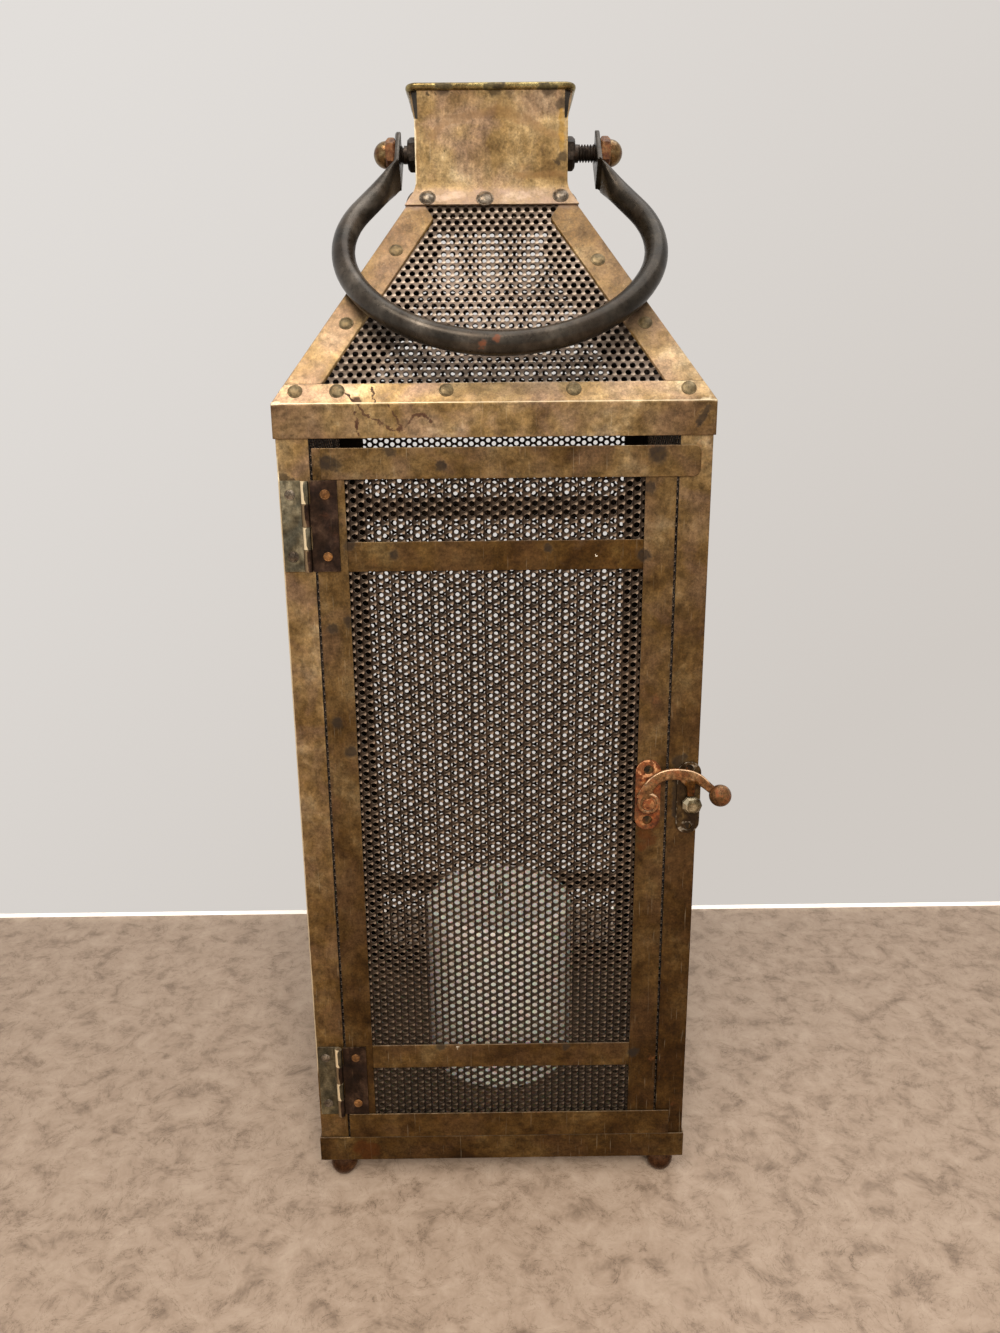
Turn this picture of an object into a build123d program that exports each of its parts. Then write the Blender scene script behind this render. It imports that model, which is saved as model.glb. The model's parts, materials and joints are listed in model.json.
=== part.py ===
from build123d import *
from math import acos, asin, atan2, cos, degrees, hypot, pi, radians, sin, sqrt, tan
import os

# Square lantern of pierced sheet under a pyramid roof, with an open neck, a swinging bail and a
# hinged front door. Millimetres: X runs right, Y runs back, Z runs up from the surface under the feet.

overrun = 3.0  # how far a cut runs past the metal
seat = 0.3  # air between pieces that rest on each other but must part
round_sides = 10  # flats that draw a small round form
ball_steps = 4  # bands that draw a ball
tip_share = 0.95  # how far a ball is drawn before its flat tip

# Case
case_width = 170.0
case_depth = 170.0
strip_sheet = 0.8  # brass strip of the posts, pan, eaves, hips and neck
mesh_sheet = 0.8  # pierced sheet
post_leg = 12.7

# Pan and ball feet
ball_diameter = 12.7
foot_height = 12.0
foot_inset_x = 9.0
foot_inset_y = 6.4
pan_wall = 12.6

# Cross strips
strip_width = 11.9
lower_strip_rise = 37.6  # above the pan wall
upper_strip_drop = 40.3  # below the eaves

# Eaves and roof
eave_gap = 3.6  # open slit above the door
eave_face = 13.1
eave_lip = 8.7
roof_slope = 56.9
hip_leg = 12.7

# Neck and rolled rim
neck_width = 62.6
flange_leg = 8.6
flange_bend = 10.0
rim_rise = 37.2  # rim centre above the line where neck and roof meet
rim_overhang = 1.75
rim_bead = 2.9
rim_corner = 3.2
rim_sides = 6
flare_bend = 6.0
flare_gap = 0.8  # from the jam nuts up to the flare

# Piercing: the sheet is pierced 2.5 mm at 3.6 mm, and one opening here stands for a patch of it
opening_pitch = 27.0
opening_bar = 7.6  # sheet left between two openings

# Door
door_height = 317.8
door_side_gap = 1.0
door_pan_gap = 0.3
stile_width = 12.3
door_mesh_inset = 1.0
bottom_rail_height = 12.7
top_rail_height = 12.1
bottom_rail_tab = 7.1  # the rails lap over the right post
top_rail_tab = 9.1
top_rail_inset = 3.5
rail_corner = 3.0

# Hinges
hinge_height = 36.0
hinge_inset = 2.2  # axis to the edge of the left post
hinge_rail_gap = 0.2
barrel_diameter = 3.2
pin_diameter = 1.6
pin_clearance = 0.05
knuckle_gap = 0.2
frame_leaf_reach = 9.7
door_leaf_reach = 12.5
knuckle_count = 4

# Latch
latch_inset = 7.6  # pivot to the right edge of the door
latch_rise = 169.0  # pivot above the bottom of the door
latch_plate_width = 10.8
latch_plate_length = 31.8
latch_plate_sheet = 1.2
latch_plate_lift = 2.9
latch_hole_spacing = 22.9
latch_hole = 4.2
hook_thickness = 2.4
hook_arm = 4.8
hook_eye = 9.5
hook_reach = 30.4
hook_ball_rise = 3.4
hook_crown_x = 13.4
hook_crown_rise = 12.9
hook_ball = 9.4
pivot_shank = 3.0
pivot_head = 5.4
pivot_head_height = 1.0
tooth_width = 6.0
tooth_root = 9.6

# Keeper on the right post
keeper_width = 10.1
keeper_length = 32.6
keeper_sheet = 1.0
keeper_overhang = 1.2
keeper_lift = 1.3
keeper_hole = 3.6
keeper_hole_inset = 3.2
stud_offset = 1.2
stud_drop = 1.2
stud_shank = 4.6
stud_head = 8.0
stud_head_height = 3.6
stud_crown_share = 0.6

# Bail and its bolts
pivot_rise = 19.1  # bolt axis above the line where neck and roof meet
bolt_diameter = 7.6
bolt_clearance = 0.2
thread_clearance = 0.05
hex_across = 12.2
bolt_head_height = 5.0
jam_nut_height = 5.1
dome_hex_height = 4.2
dome_diameter = 11.8
bolt_grip = 3.8  # thread inside the dome nut
paddle_spacing = 86.4
paddle_thickness = 2.0
paddle_width = 14.4
paddle_tip = 10.0
paddle_corner = 5.0
paddle_side_play = 0.4
bail_shift = 3.0  # the bail has slid this far right on its bolts
bail_tube = 9.4
bail_reach = 122.0
bail_half_width = 63.1
bail_bend = 14.7
shoulder_share = 0.459  # shoulder radius for the bail's reach
shoulder_width_share = 0.79  # and at most this for its half width
belly_share = 0.93  # a longer bail grows in its straight legs, above this for its half width
flatten_share = 0.55

# Candle
candle_diameter = 76.0
candle_height = 91.0
wick_diameter = 1.8
wick_height = 9.0
wick_sink = 4.0

# Worked out sizes
half_x = case_width / 2
half_y = case_depth / 2
pan_top = foot_height + pan_wall
floor_top = foot_height + strip_sheet
door_bottom = pan_top + door_pan_gap
door_top = door_bottom + door_height
eave_bottom = door_top + eave_gap
eave_fold = eave_bottom + eave_face
eave_top = eave_fold + eave_lip * sin(radians(roof_slope))
lower_strip = (pan_top + lower_strip_rise, pan_top + lower_strip_rise + strip_width)
upper_strip = (eave_bottom - upper_strip_drop - strip_width, eave_bottom - upper_strip_drop)
roof_x = half_x + strip_sheet
roof_y = half_y + strip_sheet
neck_x = neck_width / 2
neck_y = neck_x + half_y - half_x
flue_x = neck_x - strip_sheet
flue_y = neck_y - strip_sheet
meet_z = eave_fold + (roof_x - flue_x) * tan(radians(roof_slope))
rim_z = meet_z + rim_rise
pivot_z = meet_z + pivot_rise
door_half = half_x - post_leg - door_side_gap
door_front = half_y + seat  # distance of the stiles' front from the middle of the case
door_inside = door_half - stile_width
bottom_rail = (door_bottom, door_bottom + bottom_rail_height)
top_rail = (door_top - top_rail_height, door_top)
hinge_x = -(half_x - post_leg + hinge_inset)
hinge_y = -(half_y + seat + barrel_diameter / 2)
latch_x = door_half - latch_inset
latch_z = door_bottom + latch_rise
latch_front = door_front + latch_plate_sheet
hook_back = latch_front + seat
hook_front = hook_back + hook_thickness
keeper_x = half_x + keeper_overhang - keeper_width / 2
keeper_front = half_y + keeper_sheet
stud_x = keeper_x + stud_offset
stud_z = latch_z - stud_drop
roof_run = half_x - flue_x
side_names = ("front", "right", "back", "left")


def block(x, y, z):
    """A box between the low and high of each axis."""
    size = [high - low for low, high in (x, y, z)]
    middle = [(low + high) / 2 for low, high in (x, y, z)]
    return Pos(*middle) * Box(*size)


def turned(stations):
    """Round form along Z through the height and radius of each station."""
    form = Part()
    for (low, first), (high, last) in zip(stations, stations[1:]):
        slant = degrees(atan2(abs(first - last) * cos(pi / round_sides), high - low))
        band = extrude(RegularPolygon(max(first, last), round_sides), high - low, taper=slant)
        form += Pos(0, 0, low) * band if first >= last else Pos(0, 0, high) * Rot(180, 0, 0) * band
    return form


def ball_bands(radius, low, high):
    """Stations of a ball about the origin from one height to another."""
    first, last = asin(low / radius), asin(high / radius)
    turns = [first + (last - first) * i / ball_steps for i in range(ball_steps + 1)]
    return [(radius * sin(turn), radius * cos(turn)) for turn in turns]


def fold_z(inset):
    """Height where wall and roof meet on the skin that lies inset under the outer one."""
    slope = radians(roof_slope)
    return eave_fold - inset * (1 - sin(slope)) / cos(slope)


def house(inset):
    """All that lies under the skin moved in by inset: a box with a pyramid on it."""
    wide, deep, fold = roof_x - inset, roof_y - inset, fold_z(inset)
    walls = block((-wide, wide), (-deep, deep), (eave_bottom - overrun, fold))
    rise = meet_z + overrun - fold
    pyramid = extrude(Pos(0, 0, fold) * Rectangle(2 * wide, 2 * deep), rise, taper=90 - roof_slope)
    return walls + pyramid


def turned_sides(x, y):
    """Name, turn, half span and reach of each side of a rectangle with these half sizes."""
    for i, name in enumerate(side_names):
        half_span, reach = (x, y) if i % 2 == 0 else (y, x)
        yield name, Rot(0, 0, i * 360 / len(side_names)), half_span, reach


def quarter(half_span, reach, outward, inward):
    """The wedge of space that the front side owns, cut at 45 degrees through the corners."""
    plan = Polygon((-half_span - outward, -reach - outward), (half_span + outward, -reach - outward),
                   (half_span - inward, -reach + inward), (-half_span + inward, -reach + inward), align=None)
    return extrude(Pos(0, 0, eave_bottom - overrun) * plan, rim_z)


def flue_cut():
    """The square shaft of the neck, cut through the roof."""
    return block((-flue_x, flue_x), (-flue_y, flue_y), (eave_bottom, rim_z + rim_bead))


def grid_row(span, low, high):
    """Openings of one row, as x, y, width and height, spread evenly over a span about zero."""
    count = max(round(span / opening_pitch), 1)
    pitch = span / count
    middle = (low + high) / 2
    size = (pitch - opening_bar, high - low - opening_bar)
    return [((i - (count - 1) / 2) * pitch, middle, *size) for i in range(count)]


def row_bands(low, high):
    """Low and high of each row of openings between two edges."""
    count = max(round((high - low) / opening_pitch), 1)
    pitch = (high - low) / count
    return [(low + i * pitch, low + (i + 1) * pitch) for i in range(count)]


def piercing(plane, places):
    """Bars to cut from a sheet, one at each place on the plane."""
    shapes = Sketch() + [Pos(x, y) * Rectangle(wide, tall) for x, y, wide, tall in places]
    return extrude(plane * shapes, overrun, both=True)


def window_places(half_span, windows):
    """Openings for windows given by their low and high edge."""
    places = []
    for low, high in windows:
        for band in row_bands(low, high):
            places += grid_row(2 * half_span, *band)
    return places


def wall_panel(half_span, reach, end_gap):
    """Pierced sheet behind the posts of one side."""
    outer = reach - strip_sheet
    wide = half_span - strip_sheet - end_gap
    sheet = block((-wide, wide), (-outer, mesh_sheet - outer), (floor_top, fold_z(strip_sheet)))
    windows = ((pan_top, lower_strip[0]), (lower_strip[1], upper_strip[0]), (upper_strip[1], eave_bottom))
    return sheet - piercing(Plane.XZ.offset(outer), window_places(half_span - post_leg, windows))


def cross_strip(half_span, reach, band):
    """Strip between two uprights, flush with their front."""
    return block((-half_span, half_span), (-reach, strip_sheet - reach), band)


def corner_post():
    """Front left post, an angle of strip standing in the pan."""
    height = (floor_top, fold_z(strip_sheet))
    outer = block((-half_x, post_leg - half_x), (-half_y, post_leg - half_y), height)
    inner = block((strip_sheet - half_x, post_leg + overrun - half_x),
                  (strip_sheet - half_y, post_leg + overrun - half_y),
                  (height[0] - overrun, height[1] + overrun))
    return outer - inner


def base_pan():
    """Folded tray that holds the posts and the candle."""
    tray = block((-roof_x, roof_x), (-roof_y, roof_y), (foot_height, pan_top))
    return tray - block((-half_x, half_x), (-half_y, half_y), (floor_top, pan_top + overrun))


def ball_feet():
    """Four balls with a small flat above and below."""
    foot = turned(ball_bands(ball_diameter / 2, -foot_height / 2, foot_height / 2))
    feet = []
    for side_x in (-1, 1):
        for side_y in (-1, 1):
            centre = (side_x * (half_x - foot_inset_x), side_y * (half_y - foot_inset_y), foot_height / 2)
            feet.append(Pos(*centre) * foot)
    return Compound(children=feet)


def roof_share(turn, half_span, reach):
    """The space that one side of the roof owns."""
    return turn * quarter(half_span, reach, strip_sheet + overrun, roof_run + overrun)


def eave(turn, half_span, reach):
    """Folded strip round the top of one side, mitred at the corners."""
    skin = house(0) - house(strip_sheet)
    far = roof_x + roof_y
    band = block((-far, far), (-far, far), (eave_bottom, eave_top))
    return skin & band & roof_share(turn, half_span, reach)


def roof_panel(turn, half_span, reach):
    """Pierced trapezium of one side of the roof."""
    skin = house(strip_sheet) - house(strip_sheet + mesh_sheet)
    far = roof_x + roof_y
    band = block((-far, far), (-far, far), (fold_z(strip_sheet), meet_z))
    sheet = (skin & band & roof_share(turn, half_span, reach)) - flue_cut()
    slope = radians(roof_slope)
    run = (meet_z - eave_fold) / sin(slope)
    hip_width = hip_leg / sin(atan2(1, cos(slope)))
    places = []
    for low, high in row_bands(eave_lip, run - flange_leg):
        room = half_span + strip_sheet - high * cos(slope) - hip_width
        places += grid_row(2 * room, low, high)
    plane = Plane(origin=(0, -reach - strip_sheet, eave_fold), x_dir=(1, 0, 0), z_dir=(0, -sin(slope), cos(slope)))
    return sheet - turn * piercing(plane, places)


def hip_strip(corner_x, corner_y):
    """Angle strip folded over one hip of the roof."""
    skin = house(0) - house(strip_sheet)
    far = roof_x + roof_y
    band = block((-far, far), (-far, far), (eave_top, meet_z))
    width = hip_leg / sin(atan2(1, cos(radians(roof_slope)))) * sqrt(2)
    lane = Box(far, width, far)
    turn = degrees(atan2(corner_y, corner_x))
    along = Pos(corner_x * neck_x, corner_y * neck_y, eave_fold) * Rot(0, 0, turn) * Pos(far / 2, 0, 0) * lane
    return (skin & band & along) - flue_cut()


def neck_side(half_span, reach):
    """One wall of the neck with its flange on the roof and its flare under the rim."""
    slope = radians(roof_slope)
    inner = reach - strip_sheet
    rim_inner = reach + rim_overhang - strip_sheet / 2
    flare_z = pivot_z + hex_across / 2 + flare_gap
    foot = (inner + flange_leg * cos(slope), meet_z - flange_leg * sin(slope))
    line = FilletPolyline(foot, (inner, meet_z), (inner, flare_z), (rim_inner, rim_z),
                          radius=[flange_bend, flare_bend])
    profile = make_face(offset(line, strip_sheet, side=Side.RIGHT, closed=True))
    outward = Plane(origin=(0, 0, 0), x_dir=(0, -1, 0), z_dir=(-1, 0, 0))
    far = half_span + reach + flange_leg + overrun
    wall = extrude(outward * profile, far, both=True)
    wedge = quarter(half_span, reach, flange_leg + overrun, strip_sheet + overrun)
    lower = wall & wedge & block((-far, far), (-far, far), (eave_fold, flare_z))
    flap = half_span + rim_overhang - rim_corner
    upper = wall & block((-flap, flap), (-far, far), (flare_z, rim_z + rim_bead))
    return lower + upper


def neck():
    """Square neck of four walls, pierced for the two bolts."""
    tube = Part()
    for _, turn, half_span, reach in turned_sides(neck_x, neck_y):
        tube += turn * neck_side(half_span, reach)
    hole = Cylinder(bolt_diameter / 2 + bolt_clearance, 2 * (neck_x + overrun))
    return tube - Pos(0, 0, pivot_z) * Rot(0, 90, 0) * hole


def neck_rim(tube):
    """Rolled bead that grips the flared edges of the neck."""
    wide, deep = neck_x + rim_overhang, neck_y + rim_overhang
    path = Pos(0, 0, rim_z) * RectangleRounded(2 * wide, 2 * deep, rim_corner).wire()
    start = path @ 0
    bead = sweep(Plane(origin=start, z_dir=path % 0) * RegularPolygon(rim_bead / 2, rim_sides), path=path)
    return bead - tube


def rod(diameter, x_low, x_high):
    """Round bar along X on the bolt axis."""
    middle = (x_low + x_high) / 2
    return Pos(middle, 0, pivot_z) * Rot(0, 90, 0) * Cylinder(diameter / 2, abs(x_high - x_low))


def hexagon(x_low, x_high):
    """Hexagon bar along X on the bolt axis."""
    shape = Plane(origin=(min(x_low, x_high), 0, pivot_z), z_dir=(1, 0, 0)) * RegularPolygon(
        hex_across / sqrt(3), 6, rotation=30)
    return extrude(shape, abs(x_high - x_low))


def nut_face(side):
    """Where the dome nut of a side begins: just outside the bail."""
    return bail_shift + side * (paddle_spacing / 2 + paddle_thickness / 2 + paddle_side_play)


def handle_bolts():
    """Two bolts with their heads inside the neck."""
    bolts = []
    for side in (-1, 1):
        head = hexagon(side * (flue_x - bolt_head_height), side * flue_x)
        shank = rod(bolt_diameter, side * (flue_x - bolt_head_height / 2), nut_face(side) + side * bolt_grip)
        bolts.append(head + shank)
    return Compound(children=bolts)


def jam_nuts():
    """Thin nuts that clamp each bolt to the neck."""
    nuts = []
    for side in (-1, 1):
        inner, outer = side * neck_x, side * (neck_x + jam_nut_height)
        bore = rod(bolt_diameter + 2 * thread_clearance, inner - side * overrun, outer + side * overrun)
        nuts.append(hexagon(inner, outer) - bore)
    return Compound(children=nuts)


def dome_nuts():
    """Closed nuts that keep the bail on its bolts."""
    nuts = []
    for side in (-1, 1):
        inner = nut_face(side)
        outer = inner + side * dome_hex_height
        dome = Pos(outer, 0, pivot_z) * Rot(0, side * 90, 0) * turned(
            ball_bands(dome_diameter / 2, 0, tip_share * dome_diameter / 2))
        bore = rod(bolt_diameter + 2 * thread_clearance, inner - side * overrun,
                   inner + side * (bolt_grip + thread_clearance))
        nuts.append(hexagon(inner, outer) + dome - bore)
    return Compound(children=nuts)


def bail_line():
    """Right half of the bail's centre line, seen square on: x across, y down from the bolts."""
    side_radius = min(shoulder_share * (bail_reach - bail_bend), shoulder_width_share * bail_half_width)
    side_x = bail_half_width - side_radius
    side_y = max(bail_bend + side_radius, bail_reach - belly_share * bail_half_width)
    drop = side_y - bail_reach
    bottom_radius = (side_radius**2 - side_x**2 - drop**2) / (2 * (drop + side_radius))
    bottom_y = bail_reach - bottom_radius
    join = atan2(side_x, side_y - bottom_y)
    bend_x, bend_y = paddle_spacing / 2 - side_x, bail_bend - side_y
    leave = atan2(bend_y, bend_x) + acos(side_radius / hypot(bend_x, bend_y))
    tangent = (side_x + side_radius * cos(leave), side_y + side_radius * sin(leave))
    return side_radius, (side_x, side_y), bottom_radius, bottom_y, join, leave, tangent


def roof_clearance(x, y, z):
    """How far a point lies outside the roof, measured to a face or to the hip between two."""
    slope = radians(roof_slope)
    front = (-y - roof_y) * sin(slope) + (z - eave_fold) * cos(slope)
    side = (abs(x) - roof_x) * sin(slope) + (z - eave_fold) * cos(slope)
    turn = cos(slope) ** 2
    share_front = (front - turn * side) / (1 - turn**2)
    share_side = (side - turn * front) / (1 - turn**2)
    if share_front > 0 and share_side > 0:
        return sqrt(share_front * front + share_side * side)
    return max(front, side)


def bail_lean():
    """Angle from hanging straight down at which the bail rests on the roof."""
    side_radius, centre, bottom_radius, bottom_y, join, leave, _ = bail_line()
    steps = 60
    points = []
    for i in range(steps + 1):
        turn = join * i / steps
        points.append((bottom_radius * sin(turn), bottom_y + bottom_radius * cos(turn)))
        turn = radians(90) - join + (leave - radians(90) + join) * i / steps
        points.append((centre[0] + side_radius * cos(turn), centre[1] + side_radius * sin(turn)))

    def gap(lean):
        return min(roof_clearance(side * x + bail_shift, -y * sin(lean), pivot_z - y * cos(lean))
                   for x, y in points for side in (-1, 1))

    low, high = 0.0, radians(90)
    for _ in range(steps // 2):
        middle = (low + high) / 2
        if gap(middle) < bail_tube / 2 + seat:
            low = middle
        else:
            high = middle
    return high


def bail_section(across, deep):
    """Round or flattened section of the bail, drawn with flats."""
    turns = [2 * pi * i / round_sides for i in range(round_sides)]
    return Polygon(*[(across / 2 * cos(turn), deep / 2 * sin(turn)) for turn in turns], align=None)


def bail():
    """Bent tube, flattened and pierced at both ends for the bolts."""
    side_radius, centre, bottom_radius, bottom_y, join, leave, tangent = bail_line()
    bottom = CenterArc((0, bottom_y), bottom_radius, 90 - degrees(join), 2 * degrees(join))
    curl = degrees(leave) - 90 + degrees(join)
    right = CenterArc(centre, side_radius, 90 - degrees(join), curl)
    left = CenterArc((-centre[0], centre[1]), side_radius, 90 + degrees(join), -curl)
    bend = (paddle_spacing / 2, bail_bend)
    reach_x, reach_y = bend[0] - tangent[0], bend[1] - tangent[1]
    start = (bend[0] - flatten_share * reach_x, bend[1] - flatten_share * reach_y)
    leg_right = Line(tangent, start)
    leg_left = Line((-tangent[0], tangent[1]), (-start[0], start[1]))
    path = Wire([leg_right, right, bottom, left, leg_left])
    begin = Plane(origin=(start[0], start[1], 0), x_dir=(-reach_y, reach_x, 0), z_dir=(-reach_x, -reach_y, 0))
    tube = sweep(begin * bail_section(bail_tube, bail_tube), path=path)
    for side in (-1, 1):
        section = Plane(origin=(side * start[0], start[1], 0), x_dir=(-reach_y, side * reach_x, 0),
                        z_dir=(side * reach_x, reach_y, 0))
        flat = Plane(origin=(side * bend[0], bend[1], 0), x_dir=(1, 0, 0), z_dir=(0, -1, 0))
        tube += loft([section * bail_section(bail_tube, bail_tube), flat * bail_section(paddle_thickness, paddle_width)],
                     ruled=True)
        plate = Plane(origin=(side * bend[0] - paddle_thickness / 2, 0, 0), x_dir=(0, 1, 0), z_dir=(1, 0, 0))
        outline = Pos((bail_bend - paddle_tip) / 2, 0) * Rectangle(bail_bend + paddle_tip, paddle_width)
        outline = fillet(outline.vertices().group_by(Axis.X)[0], paddle_corner)
        tube += extrude(plate * outline, paddle_thickness)
    hole = Cylinder(bolt_diameter / 2 + bolt_clearance, paddle_spacing + 2 * overrun)
    tube -= Rot(0, 90, 0) * hole
    lean = bail_lean()
    rest = Plane(origin=(bail_shift, 0, pivot_z), x_dir=(1, 0, 0), z_dir=(0, cos(lean), -sin(lean)))
    return rest.location * tube


def door_stile(side):
    """Upright strip at one edge of the door."""
    edges = sorted((side * door_inside, side * door_half))
    return block(edges, (-door_front, strip_sheet - door_front), (door_bottom, door_top))


def door_rail(x, band, corner):
    """Strip across the front of the stiles, rounded at its free end."""
    rail = block(x, (-door_front - strip_sheet, -door_front), band)
    if corner > 0:
        rail = fillet(rail.edges().filter_by(Axis.Y).group_by(Axis.X)[-1], corner)
    return rail


def door_panel():
    """Pierced sheet behind the strips of the door."""
    wide = door_half - door_mesh_inset
    back = strip_sheet - door_front
    sheet = block((-wide, wide), (back, back + mesh_sheet),
                  (door_bottom + door_mesh_inset, door_top - door_mesh_inset))
    windows = ((bottom_rail[1], lower_strip[0]), (lower_strip[1], upper_strip[0]), (upper_strip[1], top_rail[0]))
    return sheet - piercing(Plane.XZ.offset(-back), window_places(door_inside, windows))


def hinge_bands():
    """Low and high of each hinge, lower one first."""
    low = bottom_rail[1] + hinge_rail_gap
    high = top_rail[0] - hinge_rail_gap
    return (low, low + hinge_height), (high - hinge_height, high)


def hinge_leaf(side, band, back, reach, first):
    """One leaf: side -1 is fixed to the post, side 1 to the door. The first owns the top knuckle and holds the pin."""
    pitch = (band[1] - band[0]) / knuckle_count
    clear = barrel_diameter / 2 + seat
    plate_x = sorted((hinge_x + side * clear, hinge_x + side * reach))
    leaf = block(plate_x, (-back - strip_sheet, -back), band)
    for i in range(knuckle_count):
        if (i % 2 == 0) != first:
            continue
        top = band[1] - i * pitch - knuckle_gap / 2
        low = band[1] - (i + 1) * pitch + knuckle_gap / 2
        barrel = Pos(hinge_x, hinge_y, 0) * turned(((low, barrel_diameter / 2), (top, barrel_diameter / 2)))
        tongue = block(sorted((hinge_x, hinge_x + side * clear)), (-back - strip_sheet, -back), (low, top))
        leaf += barrel + tongue
    loose = 0 if first else pin_clearance
    bore = Cylinder(pin_diameter / 2 + loose, 2 * hinge_height)
    return leaf - Pos(hinge_x, hinge_y, (band[0] + band[1]) / 2) * bore


def hinge_pins():
    """A pin in each hinge barrel."""
    pins = [Pos(hinge_x, hinge_y, (low + high) / 2) * Cylinder(pin_diameter / 2, high - low)
            for low, high in hinge_bands()]
    return Compound(children=pins)


def on_front(depth):
    """Plane facing forwards at a distance in front of the middle, with x right and y up."""
    return Plane(origin=(0, -depth, 0), x_dir=(1, 0, 0), z_dir=(0, -1, 0))


def latch_plate():
    """Backing plate of the latch on the door's right stile."""
    middle = latch_z + latch_plate_lift
    shape = Pos(latch_x, middle) * SlotOverall(latch_plate_length, latch_plate_width, rotation=90)
    for side in (-1, 1):
        shape -= Pos(latch_x, middle + side * latch_hole_spacing / 2) * RegularPolygon(latch_hole / 2, round_sides)
    shape -= Pos(latch_x, latch_z) * Circle(pivot_shank / 2)
    return extrude(on_front(door_front) * shape, latch_plate_sheet)


def latch_pivot():
    """Shouldered rivet that the hook turns on."""
    shank = extrude(on_front(door_front) * (Pos(latch_x, latch_z) * Circle(pivot_shank / 2)),
                    hook_front + seat - door_front)
    head = turned(((0, pivot_head / 2), (pivot_head_height, pivot_head / 2)))
    return shank + on_front(hook_front + seat).location * Pos(latch_x, latch_z, 0) * head


def latch_hook():
    """Curved hook with a thumb ball and a tooth that rests on the keeper stud."""
    arc = ThreePointArc((latch_x, latch_z), (latch_x + hook_crown_x, latch_z + hook_crown_rise),
                        (latch_x + hook_reach, latch_z + hook_ball_rise))
    shape = Sketch() + SlotArc(arc, hook_arm)
    shape += Pos(latch_x, latch_z) * Circle(hook_eye / 2)
    rest = stud_z + stud_head / 2 + seat
    root = latch_z + hook_crown_rise
    shape += Polygon((stud_x - tooth_width / 2, rest), (stud_x + tooth_width / 2, rest),
                     (stud_x + tooth_width / 2, root - hook_arm / 2), (stud_x + tooth_width / 2 - tooth_root, root),
                     align=None)
    shape -= Pos(latch_x, latch_z) * Circle(pivot_shank / 2 + pin_clearance)
    hook = extrude(on_front(hook_back) * shape, hook_thickness)
    tip = tip_share * hook_ball / 2
    middle = on_front(door_front + seat + tip).location  # the ball swings clear of the door and the post
    ball = middle * Pos(latch_x + hook_reach, latch_z + hook_ball_rise, 0)
    return hook + ball * turned(ball_bands(hook_ball / 2, -tip, tip))


def keeper_plate():
    """Backing plate of the stud on the right post."""
    middle = latch_z + keeper_lift
    shape = Pos(keeper_x, middle) * SlotOverall(keeper_length, keeper_width, rotation=90)
    for side in (-1, 1):
        spot = middle + side * (keeper_length / 2 - keeper_hole_inset)
        shape -= Pos(keeper_x, spot) * RegularPolygon(keeper_hole / 2, round_sides)
    return extrude(on_front(half_y) * shape, keeper_sheet)


def keeper_stud():
    """Domed stud that stops the hook."""
    neck_line = hook_back - keeper_front
    crown = stud_crown_share * stud_head / 2
    stations = ((0, stud_shank / 2), (neck_line, stud_shank / 2), (neck_line, stud_head / 2),
                (neck_line + stud_head_height / 2, stud_head / 2), (neck_line + stud_head_height, crown))
    shank = turned(stations[:2])
    head = turned(stations[2:])
    return on_front(keeper_front).location * Pos(stud_x, stud_z, 0) * (shank + head)


def candle():
    """Pillar candle standing on the pan."""
    body = Pos(0, 0, floor_top + candle_height / 2) * Cylinder(candle_diameter / 2, candle_height)
    low = floor_top + candle_height - wick_sink
    well = turned(((low, wick_diameter / 2), (low + wick_sink + overrun, wick_diameter / 2)))
    return body - well


def candle_wick():
    """Wick set in the top of the candle."""
    low = floor_top + candle_height - wick_sink
    high = floor_top + candle_height + wick_height
    return turned(((low, wick_diameter / 2), (high, wick_diameter / 2)))


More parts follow.
